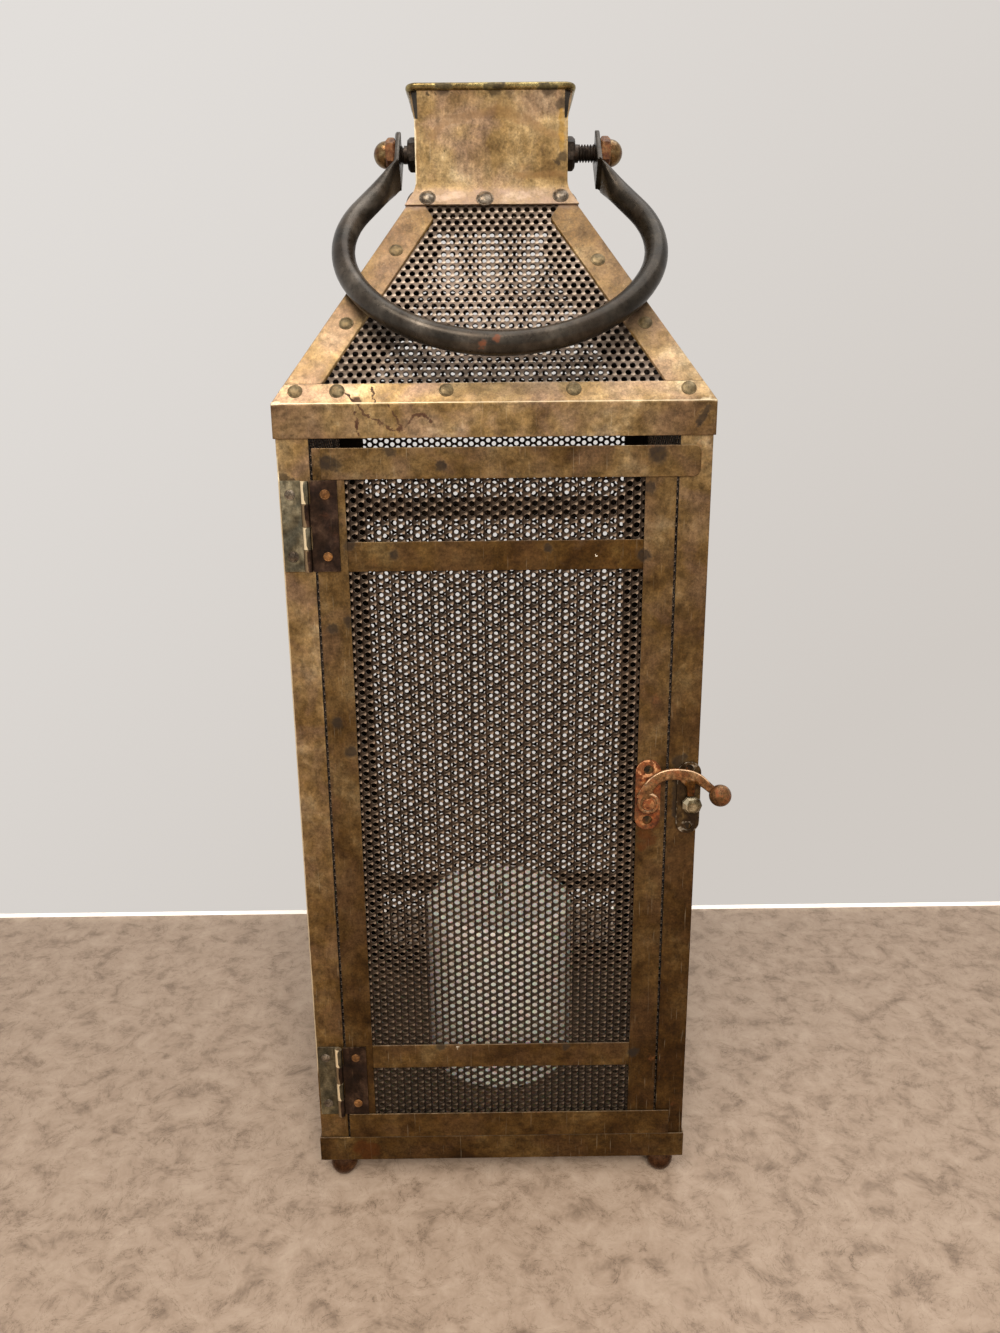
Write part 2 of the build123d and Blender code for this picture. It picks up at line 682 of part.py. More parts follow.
def build():
    """Every node by name."""
    nodes = {"base_pan": base_pan(), "ball_feet": ball_feet()}
    post = corner_post()
    nodes["post_front_left"] = post
    nodes["post_front_right"] = post.mirror(Plane.YZ)
    nodes["post_back_left"] = post.mirror(Plane.XZ)
    nodes["post_back_right"] = post.mirror(Plane.XZ).mirror(Plane.YZ)
    for name, turn, half_span, reach in turned_sides(half_x, half_y):
        nodes[f"eave_{name}"] = eave(turn, half_span, reach)
        nodes[f"roof_panel_{name}"] = roof_panel(turn, half_span, reach)
        if name == "front":
            continue
        end_gap = mesh_sheet if name == "back" else 0
        nodes[f"panel_{name}"] = turn * wall_panel(half_span, reach, end_gap)
        nodes[f"lower_strip_{name}"] = turn * cross_strip(half_span - post_leg, reach, lower_strip)
        nodes[f"upper_strip_{name}"] = turn * cross_strip(half_span - post_leg, reach, upper_strip)
    for name, corner_x, corner_y in (("front_left", -1, -1), ("front_right", 1, -1),
                                     ("back_left", -1, 1), ("back_right", 1, 1)):
        nodes[f"hip_strip_{name}"] = hip_strip(corner_x, corner_y)
    nodes["neck"] = neck()
    nodes["neck_rim"] = neck_rim(nodes["neck"])
    nodes["handle_bolts"] = handle_bolts()
    nodes["jam_nuts"] = jam_nuts()
    nodes["dome_nuts"] = dome_nuts()
    nodes["handle"] = bail()
    nodes["door_stile_left"] = door_stile(-1)
    nodes["door_stile_right"] = door_stile(1)
    nodes["door_rail_bottom"] = door_rail((-door_half, door_half + bottom_rail_tab), bottom_rail, 0)
    nodes["door_rail_top"] = door_rail((top_rail_inset - door_half, door_half + top_rail_tab), top_rail, rail_corner)
    nodes["door_strip_lower"] = cross_strip(door_inside, door_front, lower_strip)
    nodes["door_strip_upper"] = cross_strip(door_inside, door_front, upper_strip)
    nodes["door_panel"] = door_panel()
    for name, band in zip(("lower", "upper"), hinge_bands()):
        nodes[f"hinge_frame_leaf_{name}"] = hinge_leaf(-1, band, half_y, frame_leaf_reach, True)
        nodes[f"hinge_door_leaf_{name}"] = hinge_leaf(1, band, door_front, door_leaf_reach, False)
    nodes["hinge_pins"] = hinge_pins()
    nodes["latch_plate"] = latch_plate()
    nodes["latch_pivot"] = latch_pivot()
    nodes["latch_hook"] = latch_hook()
    nodes["keeper_plate"] = keeper_plate()
    nodes["keeper_stud"] = keeper_stud()
    nodes["candle"] = candle()
    nodes["candle_wick"] = candle_wick()
    return nodes


os.makedirs("parts", exist_ok=True)
for node, shape in build().items():
    export_step(shape, f"parts/{node}.step")
print(f"bail leans {degrees(bail_lean()):.2f} degrees, bolt axis at {pivot_z:.2f} mm, rim at {rim_z:.2f} mm")
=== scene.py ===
import bmesh
import bpy
import json
import math
from functools import partial
from mathutils import Matrix, Vector, geometry, kdtree, noise

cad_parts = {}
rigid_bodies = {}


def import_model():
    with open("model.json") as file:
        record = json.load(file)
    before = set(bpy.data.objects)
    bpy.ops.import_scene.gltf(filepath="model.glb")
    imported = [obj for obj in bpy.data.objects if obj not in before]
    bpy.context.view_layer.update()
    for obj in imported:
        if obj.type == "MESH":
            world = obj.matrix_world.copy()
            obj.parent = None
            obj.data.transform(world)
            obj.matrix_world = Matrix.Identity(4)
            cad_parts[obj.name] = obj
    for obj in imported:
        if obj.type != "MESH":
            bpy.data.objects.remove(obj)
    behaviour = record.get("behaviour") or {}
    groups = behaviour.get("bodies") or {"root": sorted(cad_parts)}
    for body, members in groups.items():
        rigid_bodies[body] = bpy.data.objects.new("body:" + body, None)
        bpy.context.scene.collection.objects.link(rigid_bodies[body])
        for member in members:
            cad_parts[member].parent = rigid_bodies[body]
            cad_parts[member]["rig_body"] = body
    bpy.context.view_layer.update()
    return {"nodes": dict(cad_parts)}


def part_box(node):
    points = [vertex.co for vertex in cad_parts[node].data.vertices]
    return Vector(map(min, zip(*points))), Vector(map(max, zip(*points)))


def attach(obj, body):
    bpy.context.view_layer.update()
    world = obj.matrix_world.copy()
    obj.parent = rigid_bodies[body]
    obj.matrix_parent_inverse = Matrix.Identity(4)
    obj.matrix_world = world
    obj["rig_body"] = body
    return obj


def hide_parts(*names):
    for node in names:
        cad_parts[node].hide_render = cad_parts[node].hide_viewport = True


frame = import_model()
nodes = frame["nodes"]
mm = 0.001
print("frame loaded:", len(nodes), "nodes")


# helpers

def linear(hexColour):
    parts = [int(hexColour[i:i + 2], 16) / 255 for i in (1, 3, 5)]
    return tuple(c / 12.92 if c <= 0.04045 else ((c + 0.055) / 1.055) ** 2.4 for c in parts) + (1.0,)


def addNode(tree, kind, inputs=(), stops=(), **settings):
    # inputs by place or name: values, sockets to link, or a list of sockets. Returns the first output in use
    node = tree.nodes.new(kind if kind.startswith(("Geometry", "Function", "NodeGroup")) else "ShaderNode" + kind)
    for key, value in settings.items():
        setattr(node, key, value)
    for key, value in inputs.items() if isinstance(inputs, dict) else enumerate(inputs):
        if isinstance(value, (bpy.types.NodeSocket, list)):
            for socket in value if isinstance(value, list) else [value]:
                tree.links.new(socket, node.inputs[key])
        else:
            node.inputs[key].default_value = value
    for i, (at, colour) in enumerate(stops):
        element = node.color_ramp.elements[i] if i < 2 else node.color_ramp.elements.new(1.0)
        element.position, element.color = at, linear(colour)
    return next((socket for socket in node.outputs if socket.enabled), node)


def newMaterial(name):
    material = bpy.data.materials.new(name)
    material.use_nodes = True
    tree = material.node_tree
    tree.nodes.clear()
    add = partial(addNode, tree)
    return material, add, add("TexCoord").node.outputs["Object"]


def addThing(name, data):
    thing = bpy.data.objects.new(name, data)
    bpy.context.scene.collection.objects.link(thing)
    return thing


def addPiece(name, mesh, materials, node, stands=True):
    # a finished piece: mesh already in its place, riding with its node
    mesh.name = name
    thing = addThing(name, mesh)
    for material in materials:
        mesh.materials.append(material)
    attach(thing, nodes[node]["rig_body"])
    if stands:
        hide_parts(node)


def smooth(mesh, degrees=40):
    mesh.polygons.foreach_set("use_smooth", [True] * len(mesh.polygons))
    mesh.set_sharp_from_angle(angle=math.radians(degrees))
    return mesh


def plainMesh(name, work, outwards=True):
    if outwards:
        bmesh.ops.recalc_face_normals(work, faces=work.faces)
    mesh = bpy.data.meshes.new(name)
    work.to_mesh(mesh)
    work.free()
    return mesh


def evaluated(holder, modifier):
    # bakes the modifier into a new plain mesh and drops the holder
    bpy.context.view_layer.update()
    graph = bpy.context.evaluated_depsgraph_get()
    mesh = bpy.data.meshes.new_from_object(holder.evaluated_get(graph), preserve_all_data_layers=True, depsgraph=graph)
    holder.modifiers.remove(modifier)
    bpy.data.objects.remove(holder)
    return mesh


def circle(steps):
    return [(math.cos(2 * math.pi * k / steps), math.sin(2 * math.pi * k / steps)) for k in range(steps)]


# camera, floor, light

cameraLook = {"place": (-1.06, -482.7, 363.8), "turn": -0.329, "dip": 15.43, "roll": -0.541, "lens": 27.05}


def makeCamera():
    data = bpy.data.cameras.new("camera")
    data.sensor_width = 36
    data.lens = cameraLook["lens"]
    data.clip_start = 0.01
    camera = addThing("camera", data)
    place = Matrix.Translation(Vector(cameraLook["place"]) * mm)
    for degrees, axis in ((cameraLook["turn"], "Z"), (90 - cameraLook["dip"], "X"), (cameraLook["roll"], "Z")):
        place = place @ Matrix.Rotation(math.radians(degrees), 4, axis)
    camera.matrix_world = place
    bpy.context.scene.camera = camera


roomLook = {
    "wall": ("#e2deda", "#d0cac4"), "floor": ("#5c4d40", "#806f60", "#8e7e6f"), "line": "#f4f1ec",
    "floorBack": 169, "floorHalf": 1500, "floorFront": -2200, "ambient": 0.3,
    "lamps": [  # place in metres, aim height, size, watts, colour, seen in the metal
        ((-0.45, -0.85, 1.9), 0.2, 0.8, 15, "#fff4e6", True),
        ((0.5, 0.1, 2.2), 0.2, 1.8, 17, "#ffffff", True),
        ((0.1, -1.35, 1.1), 0.15, 1.0, 63, "#fff8ee", False),
    ],
}


def addStage(name, corners, material):
    mesh = bpy.data.meshes.new(name)
    mesh.from_pydata(corners, [], [(0, 1, 2, 3)])
    mesh.materials.append(material)
    addThing(name, mesh)


def makeRoom():
    world = bpy.data.worlds.new("room")
    bpy.context.scene.world = world
    world.use_nodes = True
    tree = world.node_tree
    tree.nodes.clear()
    add = partial(addNode, tree)
    rays = add("LightPath").node.outputs
    seen = add("Math", (rays["Is Camera Ray"], rays["Is Glossy Ray"]), operation="MAXIMUM")
    seen = add("Math", (seen, rays["Is Transmission Ray"]), operation="MAXIMUM")
    way = add("SeparateXYZ", (add("TexCoord").node.outputs["Generated"],)).node.outputs
    drop = add("Math", (way[2], -0.9, 0.5), operation="MULTIPLY_ADD")
    shade = add("Math", (way[0], 0.7, drop), operation="MULTIPLY_ADD", use_clamp=True)
    near, far = (linear(colour) for colour in roomLook["wall"])
    paint = add("Mix", {0: shade, 6: near, 7: far}, data_type="RGBA")
    wall = add("Background", (paint, 1.0))
    air = add("Background", ((1, 1, 1, 1), roomLook["ambient"]))
    add("OutputWorld", (add("MixShader", (seen, air, wall)),))

    # stone-look laminate: matt, faint clouds 14 mm across, fine speckle and short dark veins
    laminate, add, place = newMaterial("laminateFloor")
    clouds, veins = (
        add("TexNoise", {"Vector": place, "Scale": 1000 / size, "Detail": detail, "Roughness": rough,
                         "Distortion": twist})
        for size, detail, rough, twist in ((14, 9, 0.72, 0.4), (22, 6, 0.7, 1.6)))
    veins = add("Math", (veins, 0.5), operation="SUBTRACT")
    veins = add("Math", (veins,), operation="ABSOLUTE")
    veins = add("MapRange", (veins, 0.0, 0.012, 0.16, 0.0))
    clouds = add("Math", (clouds, veins), operation="SUBTRACT")
    tone = add("ValToRGB", (clouds,), zip((0.3, 0.47, 0.66), roomLook["floor"]))
    skin = add("BsdfPrincipled", {"Base Color": tone, "Roughness": 0.55})
    add("OutputMaterial", (skin,))
    side, front, back = (roomLook[k] * mm for k in ("floorHalf", "floorFront", "floorBack"))
    addStage("floor", [(-side, front, 0), (side, front, 0), (side, back, 0), (-side, back, 0)], laminate)

    # pale line of filler where the worktop meets the wall
    filler, add, place = newMaterial("whiteFiller")
    skin = add("BsdfPrincipled", {"Base Color": linear(roomLook["line"]), "Roughness": 0.6})
    add("OutputMaterial", (skin,))
    addStage("wallLine", [(-side, back, 0), (side, back, 0), (side, back, 0.003), (-side, back, 0.003)], filler)

    for i, (place, aim, size, watts, colour, gleams) in enumerate(roomLook["lamps"]):
        data = bpy.data.lights.new("lamp%d" % i, "AREA")
        data.shape = "DISK"
        data.size, data.energy, data.color = size, watts, linear(colour)[:3]
        lamp = addThing("lamp%d" % i, data)
        lamp.location = place
        lamp.visible_glossy = gleams
        lamp.rotation_euler = (Vector((0, 0, aim)) - Vector(place)).to_track_quat("-Z", "Y").to_euler()
    bpy.context.scene.view_settings.view_transform = "Standard"


makeCamera()
makeRoom()
print("camera and room made")


# materials

# marks on the brass, in mm: (colour, strength, [(x, y, z, radius), or (x, y, z, x, y, z, radius) for a stroke, ...])
brassMarks = [
    ("#120b06", 0.95, [  # dark smudges of flux and heat, and painted shadow beside the keeper and under the rim bead
        (-65.7, -86, 337.1, 3.6), (-40.7, -86, 341.4, 2.6), (-21, -86, 335.5, 2.6), (63.5, -86, 339.3, 4.2),
        (-40.7, -86, 300.4, 2.6), (-58.4, -86, 305, 3.0), (60.8, -86, 326.6, 2.8), (20.8, -86, 303, 2.2),
        (59.2, -86, 299.8, 3.4), (-66.5, -86, 270.8, 2.6), (-59.9, -86, 273.6, 2.6), (-67, -86, 230.6, 2.8),
        (-61.8, -86, 217.6, 3.2), (-27.5, -86, 73.4, 2.4), (29.9, -86, 72.0, 2.2), (60.8, -86, 69.3, 3.0),
        (28.6, -31.8, 475.2, 2.8), (29.3, -31.3, 456.0, 2.4), (27.0, -31.3, 454.2, 1.6), (-19.4, -31.3, 458.1, 0.6),
        # the last spot on this line and the first two on the next are painted shadow beside the keeper
        (-19.2, -34, 481.0, 3.4), (1.6, -34, 481.0, 4.0), (22.8, -34, 480.6, 3.4), (78.6, -85, 213.2, 2.0),
        (76.2, -85, 211.4, 3.0), (76.0, -85, 209, 75.7, -85, 187, 1.5), (-62.6, -86, 336.2, 3.4),
        (-82.6, -85, 331.5, 2.6), (-79.5, -85, 329.6, 2.0), (79, -86, 351, 82, -86, 356, 1.6),
        # the first stroke on this line is painted shadow under the rim bead
        (-31.6, -32, 479.2, 31.6, -32, 479.2, 0.8), (-64.9, -86, 322, -64.3, -86, 306, 1.0),
    ]),
    ("#080503", 1.0, [  # painted shade in the screw holes of latch and keeper
        (62.9, -85.3, 208.8, 2.0), (63.1, -85.3, 185.6, 2.0), (81.15, -85, 208.3, 2.0), (81.15, -85, 182.1, 2.0),
    ]),
    ("#3b362c", 0.85, [  # painted shade on the sides of the flared neck
        (-33, -24, 476, -33, 24, 476, 7.5), (-32.4, -23, 467, -32.4, 23, 467, 7.5),
        (33, -24, 476, 33, 24, 476, 7.5), (32.4, -23, 467, 32.4, 23, 467, 7.5),
    ]),
    ("#5a3f22", 0.72, [  # an arc of brown stain across the neck
        (-24, -31.3, 464, -19, -31.3, 469.2, 1.6), (-19, -31.3, 469.2, -8, -31.3, 471.6, 1.9),
        (-8, -31.3, 471.6, 3.5, -31.3, 473.0, 1.8), (2.5, -31.3, 473.6, 14, -31.3, 469.6, 2.5),
        (14, -31.3, 469.6, 21, -31.3, 465.9, 1.8), (21, -31.3, 465.9, 29, -31.3, 463.2, 1.5),
        (10, -31.3, 449.0, 29, -31.3, 449.4, 1.5), (-30.4, -31.3, 450, -30.4, -31.3, 468, 0.9),
    ]),
    ("#a8802f", 0.6, [(28.8, -31.3, 473, 28.8, -31.3, 459, 1.25)]),  # amber run of varnish beside it
    ("#7c6a64", 0.66, [(-36, -35, 440.6, 36, -35, 440.6, 5.2)]),  # flange, darkened to old rose
    ("#d2bba8", 0.35, [  # and pale patches, scrubbed, with painted highlight
        (-22, -34.6, 440.2, -12, -34.2, 442.4, 2.0), (6, -34.6, 440, 20, -34, 443.4, 2.0),
    ]),
    ("#2c1409", 1.0, [  # dark rust threads down the eave
        (-58.4, -82.2, 365, -56.8, -83.4, 363, 0.55), (-56.8, -83.4, 363, -52.4, -86, 359.2, 0.6),
        (-52.4, -86, 359.2, -49.6, -86, 355, 0.65),
        (-49.6, -86, 355, -44.9, -86, 352.7, 0.6), (-44.9, -86, 352.7, -39.3, -86, 349.2, 0.7),
        (-39.3, -86, 349.2, -35.5, -86, 350, 0.8), (-35.5, -86, 350, -31.7, -86, 353.7, 0.65),
        (-31.7, -86, 353.7, -27.1, -86, 355.5, 0.75), (-27.1, -86, 355.5, -24.4, -86, 352.2, 0.7),
        (-40.7, -86, 358.8, -38.4, -86, 354.6, 0.5), (-38.4, -86, 354.6, -36, -86, 350.6, 0.55),
        (-53.3, -86, 356.4, -52.6, -86, 348, 0.6), (-52.6, -85.2, 360.6, 2.0),
        (-46.8, -82.2, 365, -46.2, -85.8, 359.4, 0.45),
    ]),
    ("#54290d", 0.65, [  # rust
        (-66.5, -85.8, 18.8, 4.4), (-61.5, -85.8, 17.6, 4.2), (-64, -85.8, 14.8, 3.4), (63.2, -85.4, 178.6, 3.6),
        (65.5, -85.4, 175.3, 2.8), (62.1, -85.4, 172.5, 2.4), (60.2, -85.4, 183.5, 3.0), (66.8, -85.4, 183.0, 3.0),
    ]),
    ("#f0e6d2", 0.9, [(-19.7, -86.1, 72.5, 0.8), (40.5, -85.4, 300.0, 0.5)]),  # small bright spots
]


def nearSpots(add, place, spots):
    # 1 in the middle of each spot, falling to 0 at its ragged border
    warp = add("TexNoise", {"Vector": place, "Scale": 1000 / 2.6, "Detail": 4, "Roughness": 0.65})
    warp = add("VectorMath", (warp.node.outputs[1], (0.5, 0.5, 0.5)), operation="SUBTRACT")
    warp = add("VectorMath", {0: warp, "Scale": 4 * mm}, operation="SCALE")
    place = add("VectorMath", (place, warp), operation="ADD")
    mask = None
    for *ends, radius in spots:
        near, far = Vector(ends[:3]) * mm, Vector(ends[-3:]) * mm
        foot = near
        if near != far:  # the nearest point of a stroke
            run = far - near
            since = add("VectorMath", (place, near), operation="SUBTRACT")
            share = add("VectorMath", (since, run / run.length_squared), operation="DOT_PRODUCT")
            share = add("Clamp", (share,))
            foot = add("VectorMath", {0: run, "Scale": share}, operation="SCALE")
        away = add("VectorMath", (since if near != far else place, foot), operation="DISTANCE")
        spot = add("MapRange", (away, radius * mm * 1.25, radius * mm * 0.6), interpolation_type="SMOOTHSTEP")
        mask = add("Math", (mask, spot), operation="MAXIMUM") if mask else spot
    return mask


def weatheredMetal(name, look):
    # old metal: soft patina clouds, fine brush marks, dark smudges and bare bright edges, with painted shade low down,
    # to the right and on faces turned inwards, and painted highlights on some edges
    material, add, place = newMaterial(name)
    own, shade, edge = (
        add("Attribute", attribute_name=attribute).node.outputs["Fac"] for attribute in ("piece", "shade", "edge"))
    drawn = add("Mapping", {"Vector": place, "Scale": look["drawn"]})
    ruled = add("Mapping", {"Vector": place, "Rotation": (0, 0.3, 0), "Scale": (1, 1, 0.045)})
    clouds, flush, streaks, mottle, scratch, blotch, rusting, waves = (
        add("TexNoise", {"Vector": where, "W": own, "Scale": 1000 / size, "Detail": detail,
                         "Roughness": rough, "Distortion": twist}, noise_dimensions="4D")
        for where, size, detail, rough, twist in (
            (place, look["cloud"], 8, 0.62, 0.3), (place, look["cloud"] * 0.8, 4, 0.5, 0.6),
            (drawn, look["streak"], 5, 0.6, 0), (place, look["mottle"], 7, 0.78, 0), (ruled, 0.55, 1, 0.5, 0),
            (place, look["blotch"], 5, 0.7, 0), (place, look["rustPatch"], 6, 0.7, 0), (place, 16, 2, 0.5, 0)))
    grain = add("TexNoise", {"Vector": place, "Scale": 1000 / look["grain"], "Detail": 3, "Roughness": 0.7})
    flush = add("SeparateXYZ", (flush.node.outputs[1],)).node.outputs[1]
    flush = add("MapRange", (flush, 0.45, 0.62, 0.0, look["flushMost"]))
    marks = add("Math", (streaks, grain), operation="ADD")
    marks = add("MapRange", (marks, 0.7, 1.3, 1 - look["contrast"], 1 + look["contrast"]))
    # painted shade: darker towards the base and towards the right, and by each piece's shade value
    height = add("SeparateXYZ", (place,)).node.outputs
    low = add("MapRange", (height[2], look["fade"][1] * mm, look["fade"][0] * mm))
    low = add("Math", (low, 0.6), operation="POWER")
    low = add("Math", (low, look["fade"][2]), operation="MULTIPLY")
    right = add("MapRange", (height[0], -0.03, 0.085, 0.0, look["rightFade"]))
    shade = add("Math", (shade, right), operation="ADD", use_clamp=True)
    # pale on faces turned up: dust, and painted sheen where they catch the light
    facing = add("SeparateXYZ", (add("NewGeometry").node.outputs["Normal"],)).node.outputs
    dust = add("MapRange", (facing[2], 0.25, 0.7, 0.0, look["dust"]))
    mottled = add("MapRange", (mottle, 0.36, 0.64, 1 - look["mottleMost"], 1 + look["mottleMost"]))
    scratch = add("MapRange", (scratch, 0.68, 0.78, 0.0, look["scratch"]))
    smudge = spread = add("MapRange", (blotch, look["blotchFrom"], look["blotchFrom"] + 0.12, 0.0, look["blotchMost"]))
    stains = []
    for colour, most, spots in look["marks"]:
        ragged = add("MapRange", (mottle, 0.35, 0.6, (most ** 3) * 0.8, most))
        stain = add("Math", (nearSpots(add, place, spots), ragged), operation="MULTIPLY")
        stains.append(("MIX", stain, colour))
        if most > 0.7:
            spread = add("Math", (spread, stain), operation="MAXIMUM")
    rust = add("MapRange", (rusting, look["rustFrom"], look["rustFrom"] + 0.1, 0.0, look["rustMost"]))
    ragged = add("MapRange", (streaks, 0.35, 0.65, 0.2, look["wearWidth"]))
    bare = add("Math", (ragged, edge), operation="SUBTRACT")
    bare = add("MapRange", (bare, -0.15, 0.35, 0.0, look["wearMost"]))
    # near black on faces turned into the case: candle soot and painted shade
    outward = add("VectorMath", (place, (1, 1, 0)), operation="MULTIPLY")
    normal = add("TexCoord").node.outputs["Normal"]
    outward = add("VectorMath", (outward, normal), operation="DOT_PRODUCT")
    soot = add("MapRange", (outward, -0.012, -0.03, 0.0, look["soot"]))

    tone = add("ValToRGB", (clouds,), look["tones"])
    for how, amount, colour in (
            ("MIX", flush, look["flush"]), ("", marks, ""), ("MULTIPLY", low, look["lowTint"]),
            ("MULTIPLY", shade, look["lowTint"]), ("MIX", dust, "#cdb9a4"), ("", mottled, ""),
            ("MIX", scratch, look["bare"]), ("MIX", smudge, look["smudge"]), *stains, ("MIX", rust, look["rust"]),
            ("MIX", bare, look["bare"]), ("MIX", soot, "#150d07")):
        if how:
            tone = add("Mix", {0: amount, 6: tone, 7: linear(colour)}, data_type="RGBA", blend_type=how)
        else:
            tone = add("VectorMath", {0: tone, "Scale": amount}, operation="SCALE")
    dull = add("Math", (spread, rust), operation="MAXIMUM")
    sheen = add("MapRange", (streaks, 0.3, 0.7, look["roughness"] - 0.08, look["roughness"] + 0.1))
    sheen = add("Mix", {0: dull, 2: sheen, 3: 0.75})
    metal = add("MapRange", {0: dull, 3: look["metallic"], 4: 0.15})
    bump = add("Bump", {"Strength": 1.0, "Distance": look["dents"] * mm, "Height": waves})
    bump = add("Bump", {"Strength": 0.8, "Distance": look["tooth"] * mm, "Height": marks, "Normal": bump})
    skin = add("BsdfPrincipled", {"Base Color": tone, "Metallic": metal, "Roughness": sheen, "Normal": bump})
    add("OutputMaterial", (skin,))
    return material


# lacquered brass strip, gone brown: warm gold clouds under a thin dark oxide, with painted shade towards the base and
# to the right
brassLook = {
    "cloud": 20, "tones": [(0.30, "#5f4728"), (0.44, "#93784e"), (0.56, "#b0966c"), (0.70, "#dccaa6")],
    "flush": "#a08474", "flushMost": 0.5, "mottle": 4.5, "mottleMost": 0.4, "scratch": 0.16, "soot": 0.95,
    "drawn": (1.0, 1.0, 0.4), "streak": 2.2, "grain": 0.9, "contrast": 0.42,
    "fade": (40, 365, 0.88), "rightFade": 0.15, "lowTint": "#846f3e", "marks": brassMarks, "dust": 0.1,
    "smudge": "#3a2a1c", "blotch": 8, "blotchFrom": 0.62, "blotchMost": 0.5,
    "rustPatch": 14, "rustFrom": 0.64, "rustMost": 0.5, "rust": "#7a4420",
    "wearWidth": 0.55, "wearMost": 0.75, "bare": "#e6d6b6",
    "roughness": 0.46, "metallic": 0.8, "dents": 0.25, "tooth": 0.02,
}
plainLook = dict(brassLook, marks=[], drawn=(1, 1, 1), fade=(0, 1, 0), rightFade=0.0, flushMost=0.25, dust=0.0,
                 scratch=0.0, soot=0.0, mottle=2.0, mottleMost=0.3)


def toned(name, colours, look=plainLook, stops=(0.3, 0.5, 0.68), **own):
    # the look in other tones, from dark to light, and with its own values
    return weatheredMetal(name, dict(look, tones=list(zip(stops, colours)), **own))


agedBrass = weatheredMetal("agedBrass", brassLook)
# the same brass where the strip lies across
acrossBrass = weatheredMetal("acrossBrass", dict(brassLook, drawn=(0.4, 1.0, 1.0)))
# hinge leaves on the door and keeper: steel with brass wash, burnt almost black-brown, with painted shade lower down
burntSteel = toned(
    "burntSteel", ("#1b120c", "#33241b", "#5a4638"), brassLook, marks=[], cloud=9, flush="#2a201e", rustFrom=0.6,
    rust="#4f2a12", bare="#a08868", fade=(20, 330, 0.3), blotch=4, wearMost=0.6, dust=0.0, scratch=0.1)
# keeper: olive-brown plate, its rim rubbed grey and given a painted highlight
keeperSteel = toned(
    "keeperSteel", ("#160e07", "#332514", "#5a472a"), cloud=7, flush="#20160f", flushMost=0.6, bare="#bdb2a0",
    wearWidth=0.8, wearMost=0.9, roughness=0.35, metallic=0.7)
# rivets of the roof, dulled to the colour of old lead
dulledSteel = toned(
    "dulledSteel", ("#4a4030", "#776a50", "#a5977a"), cloud=5, flush="#857050", flushMost=0.5, roughness=0.4,
    metallic=0.75, tooth=0.05)
# rivets of the door leaf: brown copper
brownCopper = toned(
    "brownCopper", ("#472c14", "#7c5530", "#ad7c4c"), stops=(0.3, 0.5, 0.66), cloud=3, flush="#8a6a48",
    bare="#c8a888", roughness=0.38, metallic=0.6, tooth=0.05)
# hinge leaves on the posts: the same leaf, where the brass wash survives, with painted shade lower down
washedSteel = toned(
    "washedSteel", ("#3e372b", "#68604c", "#958c74"), brassLook, marks=[], cloud=9, flush="#5c5e54",
    fade=(20, 330, 0.6), blotch=4, bare="#f2deb8", wearMost=0.9)
# latch: plated steel rusted through to orange, pale where the plating holds
orangeRust = toned(
    "orangeRust", ("#1c0a04", "#45200d", "#6b3b1e", "#a0764c"), stops=(0.3, 0.44, 0.56, 0.68), mottle=1.8,
    mottleMost=0.5, cloud=4.5, streak=1.6, flush="#66482c", flushMost=0.4, rustPatch=3.2, rustFrom=0.52, rustMost=0.7,
    rust="#5c260b", bare="#b08a64", wearMost=0.6, roughness=0.6, metallic=0.35, tooth=0.08, blotch=3, blotchFrom=0.6,
    marks=[("#c08a60", 0.75, [(62.0, -86.5, 205.4, 64.2, -86.5, 206.0, 0.9)] + [  # pale stroke below the upper hole and a ring round it: painted highlight of a raised rim
        (62.9 + 4 * math.cos(a), -86.5, 208.8 + 4 * math.sin(a),
         62.9 + 4 * math.cos(a + 0.65), -86.5, 208.8 + 4 * math.sin(a + 0.65), 0.4)
        for a in [-0.7, -0.05, 0.6, 1.25, 1.9, 2.55, 3.2]])])
# dome nuts: glossy brown plate on the cap, rust on the hexagon
brownNut = toned(
    "brownNut", ("#3a2a18", "#6a5335", "#9c8860"), cloud=6, streak=1.4, flush="#5c301a", flushMost=0.5, rustPatch=5,
    rustFrom=0.62, rustMost=0.5, rust="#5c2811", roughness=0.22, metallic=0.85, blotch=3)
redNut = toned(
    "redNut", ("#2a140c", "#50301c", "#80603e"), cloud=4, streak=1.4, flush="#6b4a2c", flushMost=0.5, rust="#5c1f0a",
    rustPatch=4, rustFrom=0.55, bare="#a8805c", roughness=0.45, metallic=0.5, tooth=0.06)
# hook: brown plating with a coppery gleam
copperBrown = toned(
    "copperBrown", ("#4a2e19", "#785838", "#a08260"), stops=(0.3, 0.5, 0.66), contrast=0.5, mottle=1.3,
    mottleMost=0.6, cloud=6, streak=1.4, flush="#7c4a2c", flushMost=0.6, rustPatch=3, rustFrom=0.52, rustMost=0.7,
    rust="#6b3414", bare="#d4b28e", roughness=0.4, wearMost=0.8, metallic=0.7, blotch=3)
# bail: blued steel tube, oiled, brown where hands rub it, with painted shade to the right
gunmetal = toned(
    "gunmetal", ("#1f1c18", "#3d3832", "#5f5850"), cloud=16, streak=2.0, flush="#43352a", contrast=0.14,
    mottleMost=0.15, rustPatch=9, rustFrom=0.67, rustMost=0.8, rust="#6d3a16", bare="#877a6c", wearMost=0.5,
    roughness=0.3, metallic=0.8, blotch=6, dents=0.12, rightFade=0.62,
    marks=[("#5e2e12", 0.8, [(1.3, -94.1, 382.3, 1.5), (-4.2, -94.1, 380.6, 1.3), (-4.6, -94.1, 378.6, 1.1)])])
